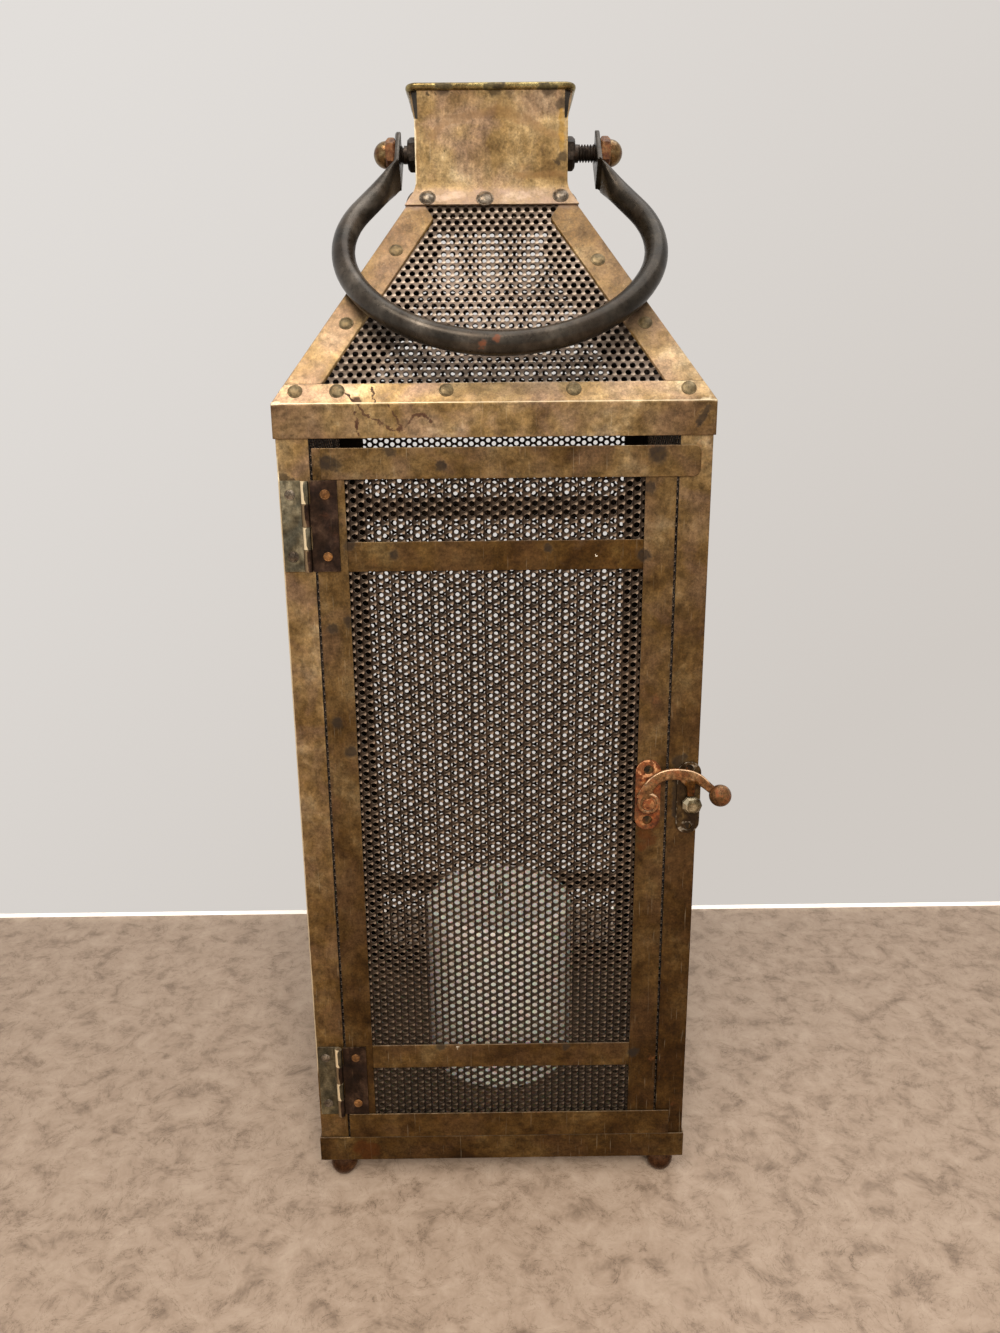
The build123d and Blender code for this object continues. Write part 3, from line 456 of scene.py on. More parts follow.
# jam nuts and bolts: black oxide steel
blackSteel = toned(
    "blackSteel", ("#15110e", "#2a231d", "#4a4038"), cloud=5, streak=1.2, rustPatch=4, rustFrom=0.62, rust="#4a2416",
    flush="#3a2a20", bare="#7c6c5a", roughness=0.4, metallic=0.7)
# ball feet: dark bronze, polished by handling
darkBronze = toned(
    "darkBronze", ("#2e1c10", "#4c3220", "#7a5a3c"), cloud=6, streak=1.6, flush="#3a2412", bare="#a88660",
    roughness=0.26, metallic=0.9)
# stud: pale plated brass
paleBrass = toned(
    "paleBrass", ("#34291a", "#65583f", "#a0947a"), cloud=4, streak=1.2, flush="#7c7260", bare="#c4b89c",
    wearWidth=0.9, wearMost=0.7, roughness=0.24, metallic=0.85)
# rim bead: wiped brass, polished and dark by turns
rimBrass = toned(
    "rimBrass", ("#453a20", "#766540", "#a0905f", "#c8ba8a"), stops=(0.3, 0.46, 0.6, 0.7), cloud=10, streak=1.6,
    flush="#5d5030", bare="#efe6c4", roughness=0.24, metallic=0.92, marks=[("#120c06", 0.95, [
        (-21.5, -34, 481.4, -16.5, -34, 481.4, 1.4), (-1.8, -34, 481.4, 4.8, -34, 481.4, 1.4),
        (20.0, -34, 481.0, 26.0, -34, 481.0, 1.4)])])
# rivets: tinned iron, grey and dimpled
tinnedIron = toned(
    "tinnedIron", ("#4a423a", "#81776b", "#b9b0a4"), stops=(0.34, 0.5, 0.66), cloud=3, streak=0.9, flush="#6b5a4c",
    rustPatch=4, rustFrom=0.6, rust="#5a3a26", bare="#c4bcb0", roughness=0.3, metallic=0.85, tooth=0.04)


sheetLook = {"pitch": 3.6, "columns": 3.118, "hole": 1.27, "sides": 8, "thick": 0.8}
# painted light and shade: the upright sheets painted darker as in shade, the roof lighter where it catches the light
wallLook = {"tones": [(0.3, "#130c08"), (0.5, "#241a12"), (0.7, "#3b2e23")], "lip": "#a8937f", "lipWidth": 0.22,
            "lipMost": 1.0, "wall": "#6b5a49", "low": 0.4, "span": (30, 170)}
roofLook = {"tones": [(0.3, "#332820"), (0.5, "#55473c"), (0.7, "#74655a")], "lip": "#d6c4b0", "lipWidth": 0.18,
            "lipMost": 0.7, "wall": "#2e2219", "low": 0.6, "span": (365, 410)}


def lifted(add, place, look):
    # painted shade: full brightness above the span, less of it below
    height = add("SeparateXYZ", (place,)).node.outputs[2]
    return add("MapRange", (height, look["span"][0] * mm, look["span"][1] * mm, look["low"], 1.0))


def piercedBrass(name, look):
    # punched sheet: brown-grey oxide on the face, a painted highlight low on every hole, painted shade lower down
    material, add, place = newMaterial(name)
    clouds = add("TexNoise", {"Vector": place, "Scale": 1000 / 26, "Detail": 8, "Roughness": 0.7})
    flat, lower = (add("Attribute", attribute_name=n).node.outputs["Vector"] for n in ("sheet", "lower"))
    columns, rows, hole = sheetLook["columns"], sheetLook["pitch"] / 2, sheetLook["hole"]
    lipHighlights = []
    # painted highlight on the lower side of each hole, as if its rolled edge caught light from above
    for shift in ((0, 0, 0), (columns, rows, 0)):
        cell = add("VectorMath", (flat, shift), operation="SUBTRACT")
        cell = add("VectorMath", (cell, (columns, rows, 1), (-columns, -rows, -1)), operation="WRAP")
        cell = add("VectorMath", (cell, (1, 1, 0)), operation="MULTIPLY")
        gap = add("VectorMath", (cell,), operation="LENGTH")
        ring = add("MapRange", (gap, hole + look["lipWidth"], hole))
        facing = add("VectorMath", (cell, lower), operation="DOT_PRODUCT")
        facing = add("MapRange", (facing, 0.0, 1.1, 0.05, look["lipMost"]))
        lipHighlights.append(add("Math", (ring, facing), operation="MULTIPLY"))
    lip = add("Math", lipHighlights, operation="MAXIMUM")
    tone = add("ValToRGB", (clouds,), look["tones"])
    tone = add("Mix", {0: lip, 6: tone, 7: linear(look["lip"])}, data_type="RGBA")
    tone = add("VectorMath", {0: tone, "Scale": lifted(add, place, look)}, operation="SCALE")
    sheen = add("MapRange", (clouds, 0.3, 0.7, 0.62, 0.48))
    bump = add("Bump", {"Strength": 1.0, "Distance": 0.1 * mm, "Height": lip})
    skin = add("BsdfPrincipled", {"Base Color": tone, "Metallic": 0.7, "Roughness": sheen, "Normal": bump})
    add("OutputMaterial", (skin,))
    return material


def punchedBrass(name, look):
    # the torn wall of each punched hole, with painted shade lower down
    material, add, place = newMaterial(name)
    grit = add("TexNoise", {"Vector": place, "Scale": 1000 / 9, "Detail": 6})
    grit = add("MapRange", (grit, 0.35, 0.6, 0.35, 1.0))
    lift = add("Math", (lifted(add, place, look), grit), operation="MULTIPLY")
    tone = add("VectorMath", {0: linear(look["wall"])[:3], "Scale": lift}, operation="SCALE")
    skin = add("BsdfPrincipled", {"Base Color": tone, "Metallic": 0.5, "Roughness": 0.4})
    add("OutputMaterial", (skin,))
    return material


def clouded(name, size, detail, stops, finish, dents=0.0):
    # plain stuff in two tones, with soft dents where the clouds are
    material, add, place = newMaterial(name)
    clouds = add("TexNoise", {"Vector": place, "Scale": 1000 / size, "Detail": detail})
    if dents:
        finish["Normal"] = add("Bump", {"Strength": 1.0, "Distance": dents * mm, "Height": clouds})
    tone = add("ValToRGB", (clouds,), stops)
    add("OutputMaterial", (add("BsdfPrincipled", {"Base Color": tone, **finish}),))
    return material


wallPierced, roofPierced = piercedBrass("wallPierced", wallLook), piercedBrass("roofPierced", roofLook)
wallPunched, roofPunched = punchedBrass("wallPunched", wallLook), punchedBrass("roofPunched", roofLook)
# inside of the sheets: black with candle soot and painted shade
sooty = clouded("sooty", 18, 5, [(0.4, "#120c08"), (0.65, "#2a1d14")], {"Metallic": 0.2, "Roughness": 0.85})
# paraffin wax: ivory, light goes a few mm in, satin skin
ivoryWax = clouded("ivoryWax", 18, 4, [(0.35, "#f8f1e6"), (0.65, "#fdfaf3")], {
    "Roughness": 0.45, "IOR": 1.44, "Subsurface Weight": 0.35, "Subsurface Scale": 0.004}, 0.3)
# burnt cotton: black and matt
burntCotton = clouded("burntCotton", 0.8, 3, [(0.4, "#17120e"), (0.7, "#4a3c30")], {"Roughness": 0.9})
print("materials made")


# pierced sheets

def newTree(name, sockets):
    # a geometry tree with these inputs, one geometry out, and its input sockets
    tree = bpy.data.node_groups.new(name, "GeometryNodeTree")
    for socket, kind in {"Geometry": "Geometry", **sockets}.items():
        tree.interface.new_socket(socket, in_out="INPUT", socket_type="NodeSocket" + kind)
    tree.interface.new_socket("Geometry", in_out="OUTPUT", socket_type="NodeSocketGeometry")
    add = partial(addNode, tree)
    return tree, add, add("NodeGroupInput").node.outputs


def perforationTree():
    # a flat sheet in the XY plane, pierced by two offset grids of holes
    tree, add, inputs = newTree("perforatedSheet", {
        "Pairs": "Int", "Rows": "Int", "Column Spacing": "Float", "Pitch": "Float", "Hole Radius": "Float",
        "Sides": "Int", "Thickness": "Float", "Face": "Material", "Wall": "Material", "Back": "Material"})
    step = add("Math", (inputs["Column Spacing"], 2.0), operation="MULTIPLY")
    wide, tall = (
        add("Math", (size, add("Math", (inputs[count], 1), operation="SUBTRACT")), operation="MULTIPLY")
        for size, count in ((step, "Pairs"), (inputs["Pitch"], "Rows")))
    grid = add("GeometryNodeMeshGrid", (wide, tall, inputs["Pairs"], inputs["Rows"]))
    half = add("Math", (inputs["Pitch"], 0.5), operation="MULTIPLY")
    shift = add("CombineXYZ", (inputs["Column Spacing"], half))
    other = add("GeometryNodeTransform", {"Geometry": grid, "Translation": shift})
    points = add("GeometryNodeJoinGeometry", ([grid, other],))
    side = add("Math", (inputs["Pitch"], math.sqrt(3)), operation="DIVIDE")
    hexagon, hole = (
        add("GeometryNodeCurvePrimitiveCircle", {"Resolution": corners, "Radius": radius})
        for corners, radius in ((6, side), (inputs["Sides"], inputs["Hole Radius"])))
    cell = add("GeometryNodeJoinGeometry", ([hexagon, hole],))
    cell = add("GeometryNodeFillCurve", (cell,))
    cells = add("GeometryNodeInstanceOnPoints", {"Points": points, "Instance": cell})
    cells = add("GeometryNodeRealizeInstances", (cells,))
    flat = add("GeometryNodeMergeByDistance", {"Geometry": cells, "Distance": 1e-5})
    place = add("GeometryNodeInputPosition")
    inMillimetres = add("VectorMath", {0: place, "Scale": 1 / mm}, operation="SCALE")
    flat = add("GeometryNodeStoreNamedAttribute", {"Geometry": flat, "Name": "sheet", "Value": inMillimetres},
               data_type="FLOAT_VECTOR", domain="POINT")
    raised = add("GeometryNodeExtrudeMesh", {"Mesh": flat, "Offset Scale": inputs["Thickness"], "Individual": False})
    raised = raised.node.outputs
    front = add("GeometryNodeSetMaterial", {"Geometry": raised["Mesh"], "Material": inputs["Face"]})
    front = add("GeometryNodeSetMaterial", {
        "Geometry": front, "Selection": raised["Side"], "Material": inputs["Wall"]})
    back = add("GeometryNodeFlipFaces", (flat,))
    back = add("GeometryNodeSetMaterial", {"Geometry": back, "Material": inputs["Back"]})
    whole = add("GeometryNodeJoinGeometry", ([front, back],))
    whole = add("GeometryNodeMergeByDistance", {"Geometry": whole, "Distance": 1e-6})
    add("NodeGroupOutput", (add("GeometryNodeRealizeInstances", (whole,)),))
    return tree


def grown(tree, name, values, start=None):
    # runs a node tree on an empty mesh, or on the points of start, and returns the plain mesh
    holder = addThing(name, start or bpy.data.meshes.new(name))
    modifier = holder.modifiers.new("grow", "NODES")
    modifier.node_group = tree
    for item in tree.interface.items_tree:
        if item.in_out == "INPUT" and item.name in values:
            modifier[item.identifier] = values[item.name]
    return evaluated(holder, modifier)


perforations = perforationTree()


def sheetStock(name, pairs, rows, lower, face, wall):
    # lower is the way down in the plane of the sheet
    mesh = grown(perforations, name, {
        "Pairs": pairs, "Rows": rows, "Column Spacing": sheetLook["columns"] * mm, "Pitch": sheetLook["pitch"] * mm,
        "Hole Radius": sheetLook["hole"] * mm, "Sides": sheetLook["sides"], "Thickness": sheetLook["thick"] * mm,
        "Face": face, "Wall": wall, "Back": sooty})
    mesh.attributes.new("lower", "FLOAT_VECTOR", "POINT").data.foreach_set("vector", lower * len(mesh.vertices))
    return mesh


def trimmed(mesh, cuts):
    # cuts the stock to its outline and closes the cut edges
    work = bmesh.new()
    work.from_mesh(mesh)
    for point, normal in cuts:
        cut = bmesh.ops.bisect_plane(work, geom=work.verts[:] + work.edges[:] + work.faces[:], dist=1e-7,
                                     plane_co=Vector(point) * mm, plane_no=normal, clear_outer=True)
        rim = [g for g in cut["geom_cut"] if isinstance(g, bmesh.types.BMEdge) and len(g.link_faces) < 2]
        bmesh.ops.holes_fill(work, edges=rim, sides=0)
    work.to_mesh(mesh)
    work.free()
    return mesh


def laid(right, up, origin):
    # matrix that lays a form's X along right, its Y along up and its face outwards
    right, up = Vector(right).normalized(), Vector(up).normalized()
    place = Matrix((right, up, right.cross(up))).transposed().to_4x4()
    place.translation = Vector(origin) * mm
    return place


caseLook = {  # sizes of the case in mm, as the CAD has them; the walls end behind the eaves
    "half": 85.0, "skin": 0.8, "slope": 56.9, "fold": 359.4, "roofHalf": 85.8, "run": 101.2, "door": 71.95,
    "wall": 72.8, "wallTop": 351.5, "roofLow": 0.4, "roofEdge": 1.2,
}
slope = math.radians(caseLook["slope"])
sides = {"front": 0, "right": 90, "back": 180, "left": 270}


def makeWallSheets():
    stock = sheetStock("wallStock", 24, 97, [0.5, -0.87, 0], wallPierced, wallPunched)
    for name, turn in sides.items():
        front = name == "front"
        node = "door_panel" if front else "panel_" + name
        low, high = (Vector(c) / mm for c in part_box(node))
        half = caseLook["door" if front else "wall"]
        depth = -high.y if front else caseLook["half"] - caseLook["skin"] - sheetLook["thick"]
        middle, tall = (low.z + high.z) / 2, (high.z - low.z) / 2
        sheet = trimmed(stock.copy(), [
            ((-half, 0, 0), (-1, 0, 0)), ((half, 0, 0), (1, 0, 0)), ((0, -tall, 0), (0, -1, 0)),
            ((0, min(tall, caseLook["wallTop"] - middle), 0), (0, 1, 0))])
        sheet.transform(Matrix.Rotation(math.radians(turn), 4, "Z") @ laid((1, 0, 0), (0, 0, 1), (0, -depth, middle)))
        addPiece("doorSheet" if front else "wallSheet" + name.title(), sheet, [], node)
    bpy.data.meshes.remove(stock)


def makeRoofSheets():
    # on the roof the stock lies turned: its columns run across
    stock = sheetStock("roofStock", 17, 48, [-0.87, -0.5, 0], roofPierced, roofPunched)
    out, along = Vector((0, -math.sin(slope), math.cos(slope))), Vector((0, math.cos(slope), math.sin(slope)))
    middle, edge = caseLook["run"] / 2, caseLook["roofEdge"]
    origin = Vector((0, -caseLook["roofHalf"], caseLook["fold"])) - out * (
        caseLook["skin"] + sheetLook["thick"]) + along * middle
    lean = math.cos(slope)
    wide = caseLook["roofHalf"] - edge - lean * middle
    sheet = trimmed(stock, [((-middle + caseLook["roofLow"], 0, 0), (-1, 0, 0)), ((middle - edge, 0, 0), (1, 0, 0)),
                            ((0, wide, 0), (lean, 1, 0)), ((0, -wide, 0), (lean, -1, 0))])
    sheet.transform(laid(along, (-1, 0, 0), origin))
    for name, turn in sides.items():
        side = sheet.copy()
        side.transform(Matrix.Rotation(math.radians(turn), 4, "Z"))
        addPiece("roofSheet" + name.title(), side, [], "roof_panel_" + name)


makeWallSheets()
makeRoofSheets()
print("pierced sheets made")


# folded strips: the CAD shapes with rolled edges, and how far each point lies from an edge

stripLook = {
    "edge": 0.22, "cell": 3.4, "rim": 1.0, "sharp": 40, "reach": 6.0,
    # painted shade on each piece, by the start of its node's name
    "shade": {"door_stile_left": 0.62, "door_stile_right": 0.52, "post_front_right": 0.65, "door_rail_top": 0.6,
              "door_strip_upper": 0.85, "door_strip_lower": 0.35, "door_rail_bottom": 0.3, "base_pan": 0.45,
              "eave_": 0.2, "hip_": 0.31, "post_front_left": 0.14},
    "darker": {"hip_": (375, 50, 0.5), "post_front_right": (240, 90, -0.4)},  # painted shade ramps: from this height, over this span
    "eave": (0.3592, 0.2, 0.6, 86),  # painted shade below this height, in m: less in the middle, more at half the width, in mm
    "bright": [  # painted highlights along edges: ends of each in mm
        ((-85.8, -85.8, 359.4), (85.8, -85.8, 359.4)), ((-85, -85, 60), (-85, -85, 340)),
        ((-31.3, -31.3, 446), (-31.3, -31.3, 478)),
    ],
    "finish": [  # material, slot, CAD nodes by the start of their names
        (agedBrass, "aged_brass", ("post_", "hip_strip_", "neck", "door_stile_")),
        (acrossBrass, "aged_brass", ("eave_", "base_pan", "lower_strip_", "upper_strip_", "door_rail_", "door_strip_")),
        (washedSteel, "dark_steel", ("hinge_frame_leaf_",)), (burntSteel, "dark_steel", ("hinge_door_leaf_",)),
        (orangeRust, "rusted_steel", ("latch_plate",)), (keeperSteel, "dark_steel", ("keeper_plate",)),
    ],
    "own": "neck_rim",  # made further on
}


def stripMesh(node):
    work = bmesh.new()
    work.from_mesh(nodes[node].data)
    bmesh.ops.remove_doubles(work, verts=work.verts, dist=1e-6)
    bmesh.ops.dissolve_limit(work, angle_limit=math.radians(0.5), verts=work.verts, edges=work.edges)
    sharp = [e for e in work.edges if e.calc_face_angle(0.0) > math.radians(stripLook["sharp"])]
    spots = []
    for e in sharp:
        a, b = (v.co for v in e.verts)
        count = max(2, int((b - a).length / (0.7 * mm)))
        spots += [a.lerp(b, i / count) for i in range(count + 1)]
    tree = kdtree.KDTree(len(spots))
    for i, spot in enumerate(spots):
        tree.insert(spot, i)
    tree.balance()
    bmesh.ops.bevel(work, geom=sharp, offset=stripLook["edge"] * mm, offset_type="OFFSET", segments=2, profile=0.5,
                    affect="EDGES", clamp_overlap=True)
    low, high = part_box(node)
    rim = stripLook["rim"] * mm
    for axis in range(3):  # cut into cells, so that wear has points to lie on
        size = high[axis] - low[axis]
        count = int(size / (stripLook["cell"] * mm))
        cuts = [low[axis] + rim, high[axis] - rim] if count > 1 else []
        for at in cuts + [low[axis] + size * i / count for i in range(1, count)]:
            point, normal = Vector(), Vector()
            point[axis], normal[axis] = at, 1
            bmesh.ops.bisect_plane(work, geom=work.verts[:] + work.edges[:] + work.faces[:], dist=1e-6,
                                   plane_co=point, plane_no=normal)
    far = [0.4 + min(tree.find(v.co)[2] / mm, stripLook["reach"]) for v in work.verts]
    # painted highlights: the listed edges and the hinge knuckles get the bare colour
    if node.startswith(("eave_front", "post_front_left", "neck", "hinge_")):
        for i, v in enumerate(work.verts):
            for a, b in stripLook["bright"]:
                near, share = geometry.intersect_point_line(v.co, Vector(a) * mm, Vector(b) * mm)
                if 0 <= share <= 1 and (v.co - near).length < 0.75 * mm:
                    far[i] = -0.1
            if node.startswith("hinge_") and v.co.y < -0.0875 and abs(v.co.x + 0.0752) < 0.0008:
                far[i] = -0.6  # painted highlight down the knuckles
    mesh = plainMesh(node, work, False)
    mesh.attributes.new("edge", "FLOAT", "POINT").data.foreach_set("value", far)
    return smooth(mesh, 50)


def paintedShade(mesh, shade, node):
    # painted shade: more on the hips towards the neck, on the eaves towards their ends, on the right post lower down
    for start, (foot, span, more) in stripLook["darker"].items():
        if node.startswith(start):
            return [shade + more * min(max((v.co.z / mm - foot) / span, 0), 1) for v in mesh.vertices]
    if node.startswith("eave_"):
        top, light, more, half = stripLook["eave"]
        return [(v.co.z < top) * (shade - light + more * abs(v.co.y if node[5] in "lr" else v.co.x) / mm / half)
                for v in mesh.vertices]
    return shade


def marked(mesh, number, shade=0.0):
    # every piece gets its own number, which moves the patina clouds on it, and how much darker it is made: painted
    # shade on the strips, a darker tone on the rivets and the hook
    for name, values in (("piece", number), ("shade", shade), ("edge", 6.0)):
        if name not in mesh.attributes:
            values = values if isinstance(values, list) else [values] * len(mesh.vertices)
            mesh.attributes.new(name, "FLOAT", "POINT").data.foreach_set("value", values)
    return mesh


def evenFaces(mesh):
    # keeps broad faces flat beside their rolled edges
    holder = addThing("evened", mesh)
    modifier = holder.modifiers.new("even", "WEIGHTED_NORMAL")
    modifier.keep_sharp = True
    return evaluated(holder, modifier)


def makeStrips():
    for number, node in enumerate(sorted(nodes)):
        for material, slotName, starts in stripLook["finish"]:
            if node.startswith(starts) and node != stripLook["own"]:
                shade = max([s for start, s in stripLook["shade"].items() if node.startswith(start)] or [0.0])
                mesh = stripMesh(node)
                mesh = evenFaces(marked(mesh, number * 3.7, paintedShade(mesh, shade, node)))
                name = node[0] + node.title().replace("_", "")[1:]
                addPiece(name, mesh, [material], node)


makeStrips()
print("strips made")


# turned and swept forms

def ringFaces(work, rings, around=False):
    # faces between rings of equal length; flat caps at the ends, or round to the first ring again
    rows = [[work.verts.new(Vector(p) * mm) for p in ring] for ring in rings]
    for a, b in zip(rows, rows[1:] + rows[:around]):
        for i in range(len(a)):
            j = (i + 1) % len(a)
            work.faces.new((a[i], a[j], b[j], b[i]))
    if not around:
        work.faces.new(rows[0][::-1])
        work.faces.new(rows[-1])


def sweptMesh(name, rings):
    work = bmesh.new()
    ringFaces(work, rings)
    return plainMesh(name, work)


def turnedMesh(name, profile, steps=28, place=Matrix.Identity(4)):
    # profile is [(height, radius), ...] about Z, in mm
    mesh = sweptMesh(name, [[(r * c, r * s, z) for c, s in circle(steps)] for z, r in profile])
    mesh.transform(place)
    return smooth(mesh, 35)


def merged(name, meshes):
    work = bmesh.new()
    for mesh in meshes:
        work.from_mesh(mesh)
        bpy.data.meshes.remove(mesh)
    return smooth(plainMesh(name, work, False), 35)


def across(x, side=1):
    # matrix that lays a turned form's Z along the bolts, outwards
    return Matrix.Translation(Vector((x, 0, bailLook["pivot"])) * mm) @ Matrix.Rotation(side * math.pi / 2, 4, "Y")


bailLook = {
    "shift": 3.0, "pivot": 463.33, "lean": 47.35, "tube": 9.4, "reach": 122.0, "half": 63.1, "bend": 14.7,
    "spacing": 86.4, "shoulder": 0.459, "plate": 2.0, "plateWide": 14.4, "tip": 10.0, "corner": 6.0, "bore": 4.0,
    "flatten": 0.55, "steps": 28, "earSteps": 44, "bevel": 0.3,
}


def bailLine():
    # right half of the bail seen square on, from the bottom up: (x, y down) points
    v = bailLook
    radius = v["shoulder"] * (v["reach"] - v["bend"])
    cx, cy = v["half"] - radius, v["bend"] + radius
    drop = cy - v["reach"]
    low = (radius ** 2 - cx ** 2 - drop ** 2) / (2 * (drop + radius))
    lowY = v["reach"] - low
    join = math.atan2(cx, cy - lowY)
    bx, by = v["spacing"] / 2 - cx, v["bend"] - cy
    leave = math.atan2(by, bx) + math.acos(radius / math.hypot(bx, by))
    points = [(low * math.sin(join * i / 14), lowY + low * math.cos(join * i / 14)) for i in range(14)]
    begin = math.pi / 2 - join
    points += [(cx + radius * math.cos(begin + (leave - begin) * i / 22),
                cy + radius * math.sin(begin + (leave - begin) * i / 22)) for i in range(23)]
    (x, y), end = points[-1], (v["spacing"] / 2, v["bend"])
    return points + [(x + (end[0] - x) * i / 8, y + (end[1] - y) * i / 8) for i in range(1, 9)]


def bailRings():
    # round the tube, from ear to ear; it flattens towards both ends
    v = bailLook
    right = bailLine()
    line = [(-x, y) for x, y in right[:0:-1]] + right
    last = len(line) - 1
    flattening = 8 * (1 - v["flatten"]) + 1.5
    rings = []
    for i, (x, y) in enumerate(line):
        (ax, ay), (bx, by) = line[max(i - 1, 0)], line[min(i + 1, last)]
        length = math.hypot(bx - ax, by - ay)
        nx, ny = ((by - ay) / length, (ax - bx) / length) if 0 < i < last else (1, 0)
        share = min(1.0, max(0.0, (flattening - min(i, last - i)) / flattening))
        share = share * share * (3 - 2 * share)
        thick, wide = (v["tube"] / 2 + (v[flat] / 2 - v["tube"] / 2) * share for flat in ("plate", "plateWide"))
        power = 1 - 0.55 * share
        ring = []
        for pair in circle(v["steps"]):
            c, s = (math.copysign(abs(q) ** power, q) for q in pair)
            ring.append((x + nx * thick * c, y + ny * thick * c, wide * s))
        rings.append(ring)
    if rings[1][0][0] < rings[1][v["steps"] // 2][0]:
        rings[0] = rings[0][::-1]
    return rings


def earRings(side):
    # flat ear with its bore, seen square on, its tip bent outwards
    v = bailLook
    outer, inner = [], []
    wide, half, bevel = v["plateWide"] / 2, v["plate"] / 2, v["bevel"]
    cornerX, cornerY = wide - v["corner"], v["tip"] - v["corner"]
    for c, s in circle(v["earSteps"]):
        reach = min(wide / max(abs(c), 1e-6), (v["bend"] + 0.6) / s if s > 0 else v["tip"] / max(-s, 1e-6))
        if s <= 0 and abs(c) * reach > cornerX and -s * reach > cornerY:  # round the corner
            dot = abs(c) * cornerX - s * cornerY
            reach = dot + math.sqrt(max(dot * dot - cornerX ** 2 - cornerY ** 2 + v["corner"] ** 2, 0))
        outer.append((c * reach, s * reach))
        inner.append((c * v["bore"], s * v["bore"]))
    rings = []
    for line, x, inset in ((inner, -half, 0), (outer, -half, bevel), (outer, -half + bevel, 0),
                           (outer, half - bevel, 0), (outer, half, bevel), (inner, half, 0)):
        ring = []
        for z, y in line:
            bent = side * (0.05 if side < 0 else 0.025) * max(-y - 5, 0) ** 2
            keep = 1 - inset / math.hypot(z, y)
            ring.append((side * v["spacing"] / 2 + x + bent, y * keep, z * keep))
        rings.append(ring)
    return rings


def makeBail():
    v = bailLook
    work = bmesh.new()
    ringFaces(work, bailRings())
    for side in (-1, 1):
        ringFaces(work, earRings(side), True)
    mesh = plainMesh("bail", work)
    lean = math.radians(v["lean"])
    mesh.transform(laid((1, 0, 0), (0, -math.sin(lean), -math.cos(lean)), (v["shift"], 0, v["pivot"])))
    addPiece("bail", marked(smooth(mesh, 45), 3.1), [gunmetal], "handle")


fastenerLook = {
    "across": 12.2, "jam": (31.3, 36.4), "face": 44.6, "hex": 4.2, "dome": 5.6, "shank": 3.65, "pitch": 1.25,
    "grip": 3.8, "inner": 30.5, "head": 5.0, "turn": 30, "steps": 20, "hexSteps": 48, "depth": 0.62,
    "helix": ((0.0, 0), (0.3, 1), (0.5, 1), (0.85, 0)),  # share of the pitch, root or crest
    "bevel": ((0, 0.96), (0.16, 1.13), (0.3, 2), (0.7, 2), (0.84, 1.13), (1, 0.96)),  # share of the height, cap
}


def hexMesh(name, low, high, side):
    # hexagon nut with its corners turned off, along the bolts
    half, turn, steps = fastenerLook["across"] / 2, math.radians(fastenerLook["turn"]), fastenerLook["hexSteps"]
    rings = []
    for at, cap in fastenerLook["bevel"]:
        ring = []
        for k in range(steps):
            t = 2 * math.pi * k / steps
            local = (t + math.pi / 6) % (math.pi / 3) - math.pi / 6
            r = min(half / math.cos(local), half * cap)
            ring.append((r * math.cos(t + turn), r * math.sin(t + turn), (high - low) * at))
        rings.append(ring)
    mesh = sweptMesh(name, rings)
    mesh.transform(across(side * low, side))
    return mesh


def threadMesh(name, low, high, side):
    # a real helix: crest and root wound along the shank
    steps, pitch, crest = (fastenerLook[k] for k in ("steps", "pitch", "shank"))
    root = crest - fastenerLook["depth"] * pitch
    work = bmesh.new()
    turns = int((high - low) / pitch) - 1
    shape = [(at, crest if out else root) for at, out in fastenerLook["helix"]]
    rows = []
    for k in range(turns * steps + 1):
        t = 2 * math.pi * k / steps
        rows.append([work.verts.new(Vector((r * math.cos(t), r * math.sin(t), (k / steps + at) * pitch)) * mm)
                     for at, r in shape])
    for a, b in zip(rows, rows[1:]):
        for i in range(3):
            work.faces.new((a[i], a[i + 1], b[i + 1], b[i]))
    for a, b, c, d in zip(rows, rows[1:], rows[steps:-1], rows[steps + 1:]):
        work.faces.new((a[3], c[0], d[0], b[3]))
    bmesh.ops.remove_doubles(work, verts=work.verts, dist=1e-7)
    mesh = plainMesh(name, work)
    place = across(side * low, side)
    mesh.transform(place)
    core = [(0, root * 0.98), (high - low, root * 0.98)]
    return [mesh, turnedMesh(name + "Core", core, steps, place)]


def makeFasteners():
    v = fastenerLook
    bolts, jams, domes = [], [], []
    for side in (-1, 1):
        face = v["face"] + side * bailLook["shift"]
        bolts += threadMesh("thread", v["jam"][1] - 0.4, face + v["grip"] - 0.3, side)
        bolts.append(turnedMesh("shank", [(0, 3.7), (10, 3.7)], v["steps"], across(side * (v["inner"] - 2.5), side)))
        bolts.append(hexMesh("head", v["inner"] - v["head"], v["inner"], side))
        jams.append(hexMesh("jam", *v["jam"], side))
        domes.append(hexMesh("domeHex", face, face + v["hex"], side))
        radius = v["dome"]
        cap = [(radius * math.sin(math.pi / 2 * i / 9), radius * math.cos(math.pi / 2 * i / 9)) for i in range(1, 9)]
        cap = [(-0.3, radius * 0.98), (0.2, radius), *cap, (radius, 0.35)]
        domes.append(turnedMesh("dome", cap, 28, across(side * (face + v["hex"]), side)))
    addPiece("bolts", marked(merged("bolts", bolts), 1.3), [blackSteel], "handle_bolts")
    addPiece("jamNuts", marked(merged("jamNuts", jams), 2.3), [blackSteel], "jam_nuts")
    domes = merged("domeNuts", domes)
    for face in domes.polygons:
        face.material_index = abs(face.center.x / mm - bailLook["shift"]) < v["face"] + v["hex"] - 0.2
    addPiece("domeNuts", marked(domes, 4.3), [brownNut, redNut], "dome_nuts")


makeBail()
makeFasteners()
print("bail and nuts made")


rimLook = {"half": 33.05, "corner": 3.2, "height": 481.43, "bead": 1.45, "steps": 14, "waver": 0.16, "wave": 9}


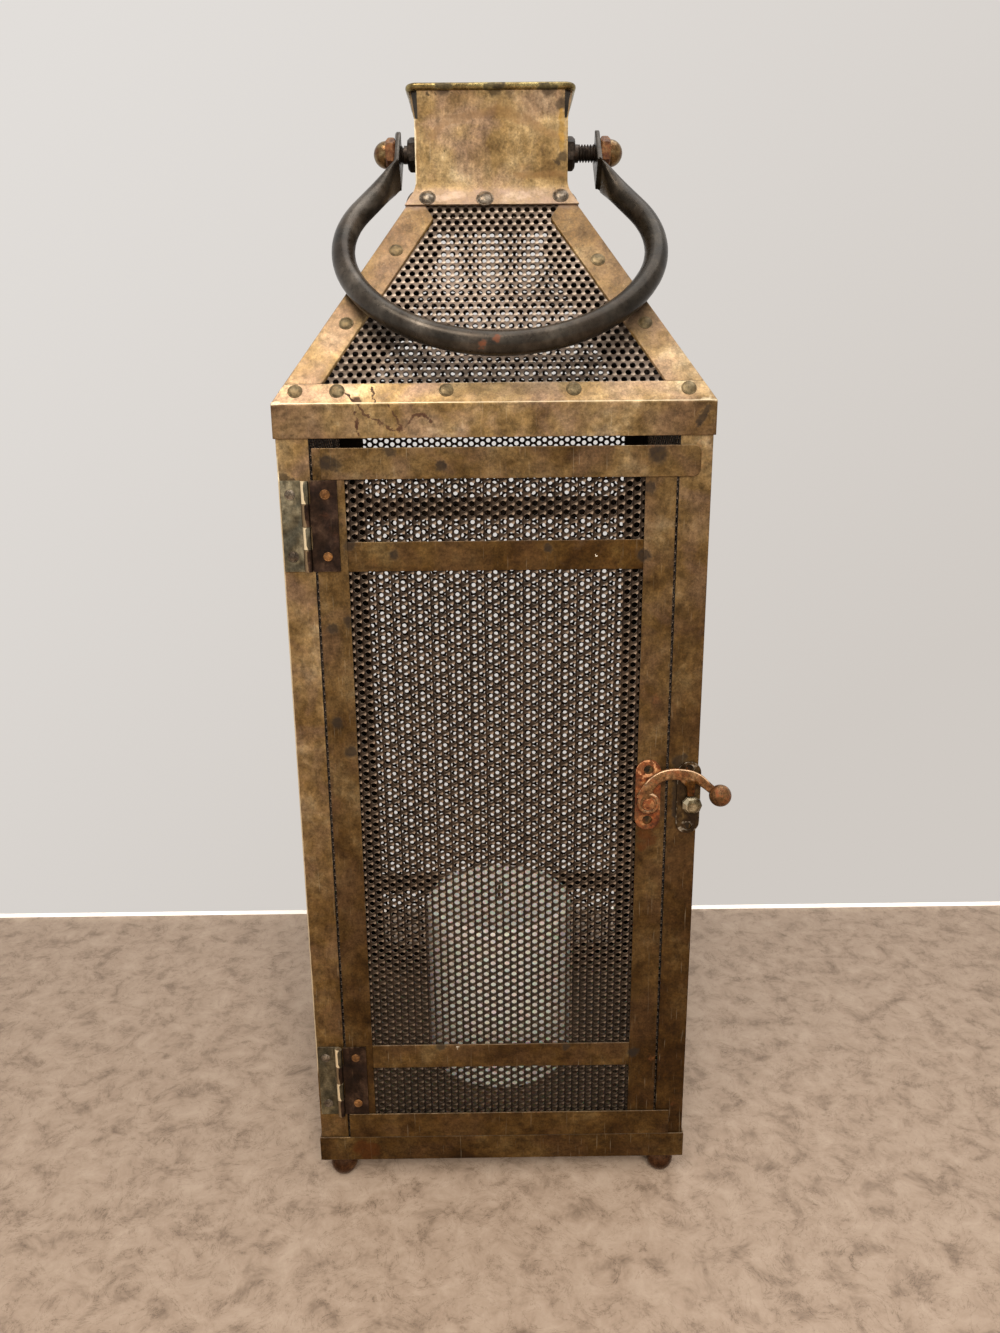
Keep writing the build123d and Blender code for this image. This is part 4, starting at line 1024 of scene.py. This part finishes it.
def makeRim():
    v = rimLook
    flat = v["half"] - v["corner"]
    line = []
    for quarter in range(4):
        begin = quarter * math.pi / 2
        cx = flat * (1 if quarter in (0, 3) else -1)
        cy = flat * (1 if quarter in (0, 1) else -1)
        for i in range(7):
            t = begin + math.pi / 2 * i / 6
            line.append((cx + v["corner"] * math.cos(t), cy + v["corner"] * math.sin(t), math.cos(t), math.sin(t)))
        nx, ny = math.cos(begin + math.pi / 2), math.sin(begin + math.pi / 2)
        for i in range(1, 14):  # along the side, so the bead can waver a little
            share = i / 14
            line.append((cx + v["corner"] * nx - ny * 2 * flat * share, cy + v["corner"] * ny + nx * 2 * flat * share,
                         nx, ny))
    work = bmesh.new()
    rows = []
    for x, y, nx, ny in line:
        waver = v["waver"] * noise.noise(Vector((x / v["wave"], y / v["wave"], 0.3)))
        rows.append([work.verts.new(Vector((x + nx * (v["bead"] * c + waver), y + ny * (v["bead"] * c + waver),
                                            v["height"] + v["bead"] * s)) * mm) for c, s in circle(v["steps"])])
    for a, b in zip(rows, rows[1:] + rows[:1]):
        for i in range(v["steps"]):
            j = (i + 1) % v["steps"]
            work.faces.new((a[i], b[i], b[j], a[j]))
    addPiece("rim", marked(smooth(plainMesh("rim", work), 60), 5.9), [rimBrass], "neck_rim")


feetLook = {"ball": 6.35, "x": 76.0, "y": 78.6, "height": 12.0, "neck": 2.6}


def makeFeet():
    v = feetLook
    half = v["height"] / 2
    turns = [math.asin(-half / v["ball"]) + 2 * math.asin(half / v["ball"]) * i / 14 for i in range(15)]
    profile = [(half + v["ball"] * math.sin(t), v["ball"] * math.cos(t)) for t in turns]
    profile[-1] = (v["height"], v["neck"])
    meshes = [turnedMesh("foot", profile, 28, Matrix.Translation(Vector((x, y, 0)) * mm))
              for x in (-v["x"], v["x"]) for y in (-v["y"], v["y"])]
    addPiece("feet", marked(merged("feet", meshes), 6.7), [darkBronze], "ball_feet")


makeRim()
makeFeet()

candleLook = {
    "radius": 38.0, "base": 12.8, "top": 103.8, "wick": 112.8, "wickRadius": 0.9, "steps": 72,
    "foot": [(0, -1.2), (0.5, -0.3), (1.6, 0)],  # over the base, against the radius
    "edge": [(-2.6, 0), (-1.3, -0.35), (-0.4, -1.3), (0, -2.8), (-0.3, -6), (-1.6, -14), (-2.4, -24)],  # at the top
    "well": [(-2.8, 6), (-2.6, 1.2)],  # radii round the wick
}


def makeCandle():
    v = candleLook
    r, base, top = v["radius"], v["base"], v["top"]
    profile = [(base + z, r + more) for z, more in v["foot"]]
    profile += [(base + (top - base) * i / 12, r + 0.12 * math.sin(i * 1.7)) for i in range(1, 12)]
    profile += [(top + z, r + more) for z, more in v["edge"]] + [(top + z, radius) for z, radius in v["well"]]
    addPiece("candleBody", smooth(turnedMesh("candle", profile, v["steps"]), 70), [ivoryWax], "candle")
    rings = []
    for i in range(15):  # a cord of three strands, bent over at its tip
        share = i / 14
        ring = []
        for k in range(12):
            t = 2 * math.pi * k / 12
            r = v["wickRadius"] * (0.86 + 0.14 * math.cos(3 * (t + i * 0.55))) * (1 - 0.35 * share ** 4)
            ring.append((0.8 * share ** 2 + r * math.cos(t), r * math.sin(t), top - 4 + (v["wick"] - top + 4) * i / 14))
        rings.append(ring)
    addPiece("wick", smooth(sweptMesh("wick", rings), 60), [burntCotton], "candle_wick")


makeCandle()
print("rim, feet and candle made")


cornerLook = {"flap": 29.95, "low": 469.6, "top": 481.2, "inLow": 30.8, "inTop": 32.4, "thick": 0.5}


def makeNeckCorners():
    # the fold of sheet that closes each corner of the flare
    v = cornerLook
    work = bmesh.new()
    for turn in range(4):
        spin = Matrix.Rotation(turn * math.pi / 2, 3, "Z")
        outer = [(v["flap"], -v["inLow"], v["low"]), (v["inLow"], -v["flap"], v["low"]),
                 (v["inTop"], -v["flap"], v["top"]), (v["flap"], -v["inTop"], v["top"])]
        inner = [(x - v["thick"], y + v["thick"], z) for x, y, z in outer]
        a, b = ([work.verts.new(spin @ (Vector(p) * mm)) for p in ring] for ring in (outer, inner))
        work.faces.new(a)
        work.faces.new(b[::-1])
        for i in range(4):
            work.faces.new((a[i], b[i], b[(i + 1) % 4], a[(i + 1) % 4]))
    addPiece("neckCorners", marked(plainMesh("neckCorners", work), 8.1), [gunmetal], "neck", False)


def eased(points, parts):
    # smooth line through the points
    line = []
    ends = [points[0]] + points + [points[-1]]
    for a, b, c, d in zip(ends, ends[1:], ends[2:], ends[3:]):
        for i in range(parts):
            t = i / parts
            line.append(tuple(
                (2 * q + (r - p) * t + (2 * p - 5 * q + 4 * r - s) * t * t + (3 * q - p - 3 * r + s) * t ** 3) / 2
                for p, q, r, s in zip(a, b, c, d)))
    return line + [points[-1]]


def barMesh(name, line, power):
    # bar along a line of (x, z, half width, back, front), lying against the front of the lantern
    rings = []
    for i, (x, z, wide, back, front) in enumerate(line):
        before, after = line[max(i - 1, 0)], line[min(i + 1, len(line) - 1)]
        dx, dz = after[0] - before[0], after[1] - before[1]
        length = math.hypot(dx, dz)
        ring = []
        for pair in circle(20):
            c, s = (math.copysign(abs(q) ** power, q) for q in pair)
            ring.append((x - dz / length * wide * c, -(back + front) / 2 - (front - back) / 2 * s,
                         z + dx / length * wide * c))
        rings.append(ring)
    return sweptMesh(name, rings)


def forward(x, y, z):
    # matrix that lays a turned form's Z along -Y, towards the viewer
    return Matrix.Translation(Vector((x, -y, z)) * mm) @ Matrix.Rotation(math.pi / 2, 4, "X")


hookLook = {  # stations (x, z, half width, back, front)
    "arm": [(61.5, 195.8, 3.1, 86.8, 89.2), (62.9, 199.6, 2.6, 86.8, 89.2), (64.9, 202.8, 2.35, 86.8, 89.2),
            (67.6, 205.2, 2.3, 86.8, 89.2), (71.0, 206.6, 2.35, 86.8, 89.2), (74.8, 206.9, 2.5, 86.8, 89.2),
            (78.6, 206.5, 2.6, 86.8, 89.2), (82.0, 205.7, 2.55, 86.8, 89.2), (84.9, 204.3, 2.3, 86.8, 89.2),
            (87.4, 202.4, 2.0, 86.8, 89.2), (89.9, 200.3, 1.85, 87.0, 89.6), (92.4, 198.4, 1.85, 88.0, 91.0)],
    "tooth": [(80.2, 206.0, 4.2, 86.9, 89.0), (80.9, 203.6, 3.1, 86.9, 89.0), (81.5, 201.4, 2.0, 86.95, 88.9),
              (81.7, 199.2, 1.7, 87.0, 88.8), (81.8, 197.0, 1.65, 87.0, 88.8)],
    "pivot": (63.7, 193.9), "eye": 4.75, "ball": (93.7, 90.07, 197.8), "ballRadius": 4.7, "ballHalf": 4.46,
    "disc": [(0, -0.5), (0.4, 0), (1.8, 0), (2.3, -0.45), (2.4, -0.9), (2.2, -1.3), (1.9, -1.6)],  # against the eye
    "head": [(0, 1.45), (4.2, 1.45), (4.2, 2.6), (4.45, 2.75), (4.8, 2.6), (5.0, 2.2), (4.85, 1.8), (4.95, 1.4),
             (5.15, 0.9), (5.2, 0.3)],
    "stud": [(0, 2.3), (0.8, 2.3), (0.8, 3.7), (1.1, 4.0), (2.6, 4.0), (3.9, 2.9), (4.4, 1.9)],
    "studPlace": (82.35, 86.0, 192.7), "studTop": 0.1962, "studWide": 1.07, "rivetBack": 85.3,
}


def makeLatch():
    v = hookLook
    x, z = v["pivot"]
    disc = [(at, v["eye"] + more) for at, more in v["disc"]] + [(1.9, 1.6)]
    ball = [(v["ballHalf"] * math.sin(t), max(v["ballRadius"] * math.cos(t), 0.2))
            for t in [math.pi * (i / 20 - 0.5) for i in range(21)]]
    mesh = merged("hook", [
        barMesh("arm", eased(v["arm"], 4), 0.75), barMesh("tooth", eased(v["tooth"], 3), 0.8),
        turnedMesh("eye", disc, 36, forward(x, v["arm"][0][3], z)), turnedMesh("ball", ball, 36, forward(*v["ball"]))])
    # painted highlight along the arm's upper front ridge, in the bare colour
    marked(mesh, 7.3).attributes["edge"].data.foreach_set("value", [
        0.0 if p.normal.z > 0.35 and p.normal.y < -0.15 and p.co.x < 0.0895 else 4.0 for p in mesh.vertices])
    mesh.attributes["shade"].data.foreach_set("value", [
        0.5 if p.co.x > 0.0895 else 1.0 if 0.0785 < p.co.x < 0.0848 and p.co.z < 0.2042 else 0.25
        for p in mesh.vertices])
    addPiece("hook", mesh, [copperBrown], "latch_hook")
    mesh = turnedMesh("pivotRivet", v["head"], 32, forward(x, v["rivetBack"], z))
    addPiece("pivotRivet", marked(mesh, 9.1), [orangeRust], "latch_pivot")
    mesh = turnedMesh("stud", v["stud"], 9, forward(*v["studPlace"]))
    middle = v["studPlace"][0] * mm
    for vertex in mesh.vertices:  # hammered flat on top, where the tooth rests
        vertex.co.z = min(vertex.co.z, v["studTop"])
        vertex.co.x = middle + (vertex.co.x - middle) * v["studWide"]
    mesh.set_sharp_from_angle(angle=math.radians(20))
    # painted highlight on the flat top and the left facet, in the bare colour
    marked(mesh, 9.7).attributes["edge"].data.foreach_set("value", [
        -1.0 if p.co.z > 0.1959 or p.co.x < 0.0795 else 1.0 for p in mesh.vertices])
    addPiece("stud", mesh, [paleBrass], "keeper_stud")


makeNeckCorners()
makeLatch()
print("latch made")


# rivets

def rivetTree():
    # a head with a thin lip on every point, turned to its facing
    tree, add, inputs = newTree("rivetHeads", {
        "Radius": "Float", "Height": "Float", "Lip": "Float", "Finish": "Material"})
    dome = add("GeometryNodeMeshUVSphere", {"Segments": 16, "Rings": 10, "Radius": inputs["Radius"]})
    squash = add("Math", (inputs["Height"], inputs["Radius"]), operation="DIVIDE")
    scale = add("CombineXYZ", (1.0, 1.0, squash))
    dome = add("GeometryNodeTransform", {"Geometry": dome, "Scale": scale})
    outline, section = (add("GeometryNodeCurvePrimitiveCircle", {"Resolution": count, "Radius": inputs[size]})
                        for count, size in ((20, "Radius"), (6, "Lip")))
    lip = add("GeometryNodeCurveToMesh", {"Curve": outline, "Profile Curve": section})
    head = add("GeometryNodeJoinGeometry", ([dome, lip],))
    facing = add("GeometryNodeInputNamedAttribute", {"Name": "facing"}, data_type="FLOAT_VECTOR")
    size = add("GeometryNodeInputNamedAttribute", {"Name": "size"}, data_type="FLOAT")
    turn = add("FunctionNodeAlignRotationToVector", {"Vector": facing}, axis="Z")
    heads = add("GeometryNodeInstanceOnPoints", {
        "Points": inputs["Geometry"], "Instance": head, "Rotation": turn, "Scale": size})
    heads = add("GeometryNodeRealizeInstances", (heads,))
    heads = add("GeometryNodeSetShadeSmooth", (heads,))
    heads = add("GeometryNodeSetMaterial", {"Geometry": heads, "Material": inputs["Finish"]})
    add("NodeGroupOutput", (heads,))
    return tree


outOfRoof = (0, -math.sin(slope), math.cos(slope))


def onSlope(x, up):
    # point on the front of the roof, up mm above the fold of the eave, and the way it faces
    return (x, -caseLook["roofHalf"] + up * math.cos(slope), caseLook["fold"] + up * math.sin(slope)), outOfRoof


def allRound(spots):
    spins = [Matrix.Rotation(turn * math.pi / 2, 3, "Z") for turn in range(4)]
    return [tuple(spin @ Vector(way) for way in spot) for spin in spins for spot in spots]


rivetLook = {  # node they ride with, radius, height, lip, finish, spots
    "flangeRivets": ("neck", 3.2, 1.3, 0.3, tinnedIron, allRound([
        (spot, outOfRoof) for spot in ((-26.5, -34.0, 440.3), (-2.9, -34.4, 439.8), (28.3, -33.7, 440.8))])),
    "roofRivets": ("eave_front", 2.7, 0.6, 0.25, dulledSteel, allRound([onSlope(*spot) for spot in (
        (-76.6, 5.5), (-60.5, 5.5), (-18.4, 5.5), (30.7, 5.5), (75.1, 5.5), (-39.0, 70.7), (-58.0, 36.1), (42.5, 65.4),
        (59.8, 35.3))])),
    "frameLeafRivets": ("hinge_frame_leaf_upper", 1.9, 0.5, 0.25, tinnedIron, [
        ((-80.6, -85.8, z), (0, -1, 0)) for z in (324.9, 300.4, 68.3, 43.8)]),
    "doorLeafRivets": ("hinge_door_leaf_upper", 1.7, 0.45, 0.35, brownCopper, [
        ((-66.8, -86.1, z), (0, -1, 0)) for z in (324.9, 300.4, 68.3, 43.8)]),
}


def makeRivets():
    tree = rivetTree()
    for number, (name, (node, radius, height, lip, finish, spots)) in enumerate(rivetLook.items()):
        points = bpy.data.meshes.new(name)
        points.from_pydata([Vector(p) * mm for p, _ in spots], [], [])
        points.attributes.new("facing", "FLOAT_VECTOR", "POINT").data.foreach_set(
            "vector", [c for _, way in spots for c in way])
        sizes = [1 + 0.12 * noise.noise(Vector(p)) for p, _ in spots]
        points.attributes.new("size", "FLOAT", "POINT").data.foreach_set("value", sizes)
        mesh = grown(tree, name, {
            "Radius": radius * mm, "Height": height * mm, "Lip": lip * mm, "Finish": finish}, points)
        addPiece(name, marked(mesh, 11.3 + number, 0.45), [], node, False)


makeRivets()
print("rivets made")


# hinge pins keep their CAD shape
pins = nodes["hinge_pins"].data
pins.materials.clear()
pins.materials.append(burntSteel)
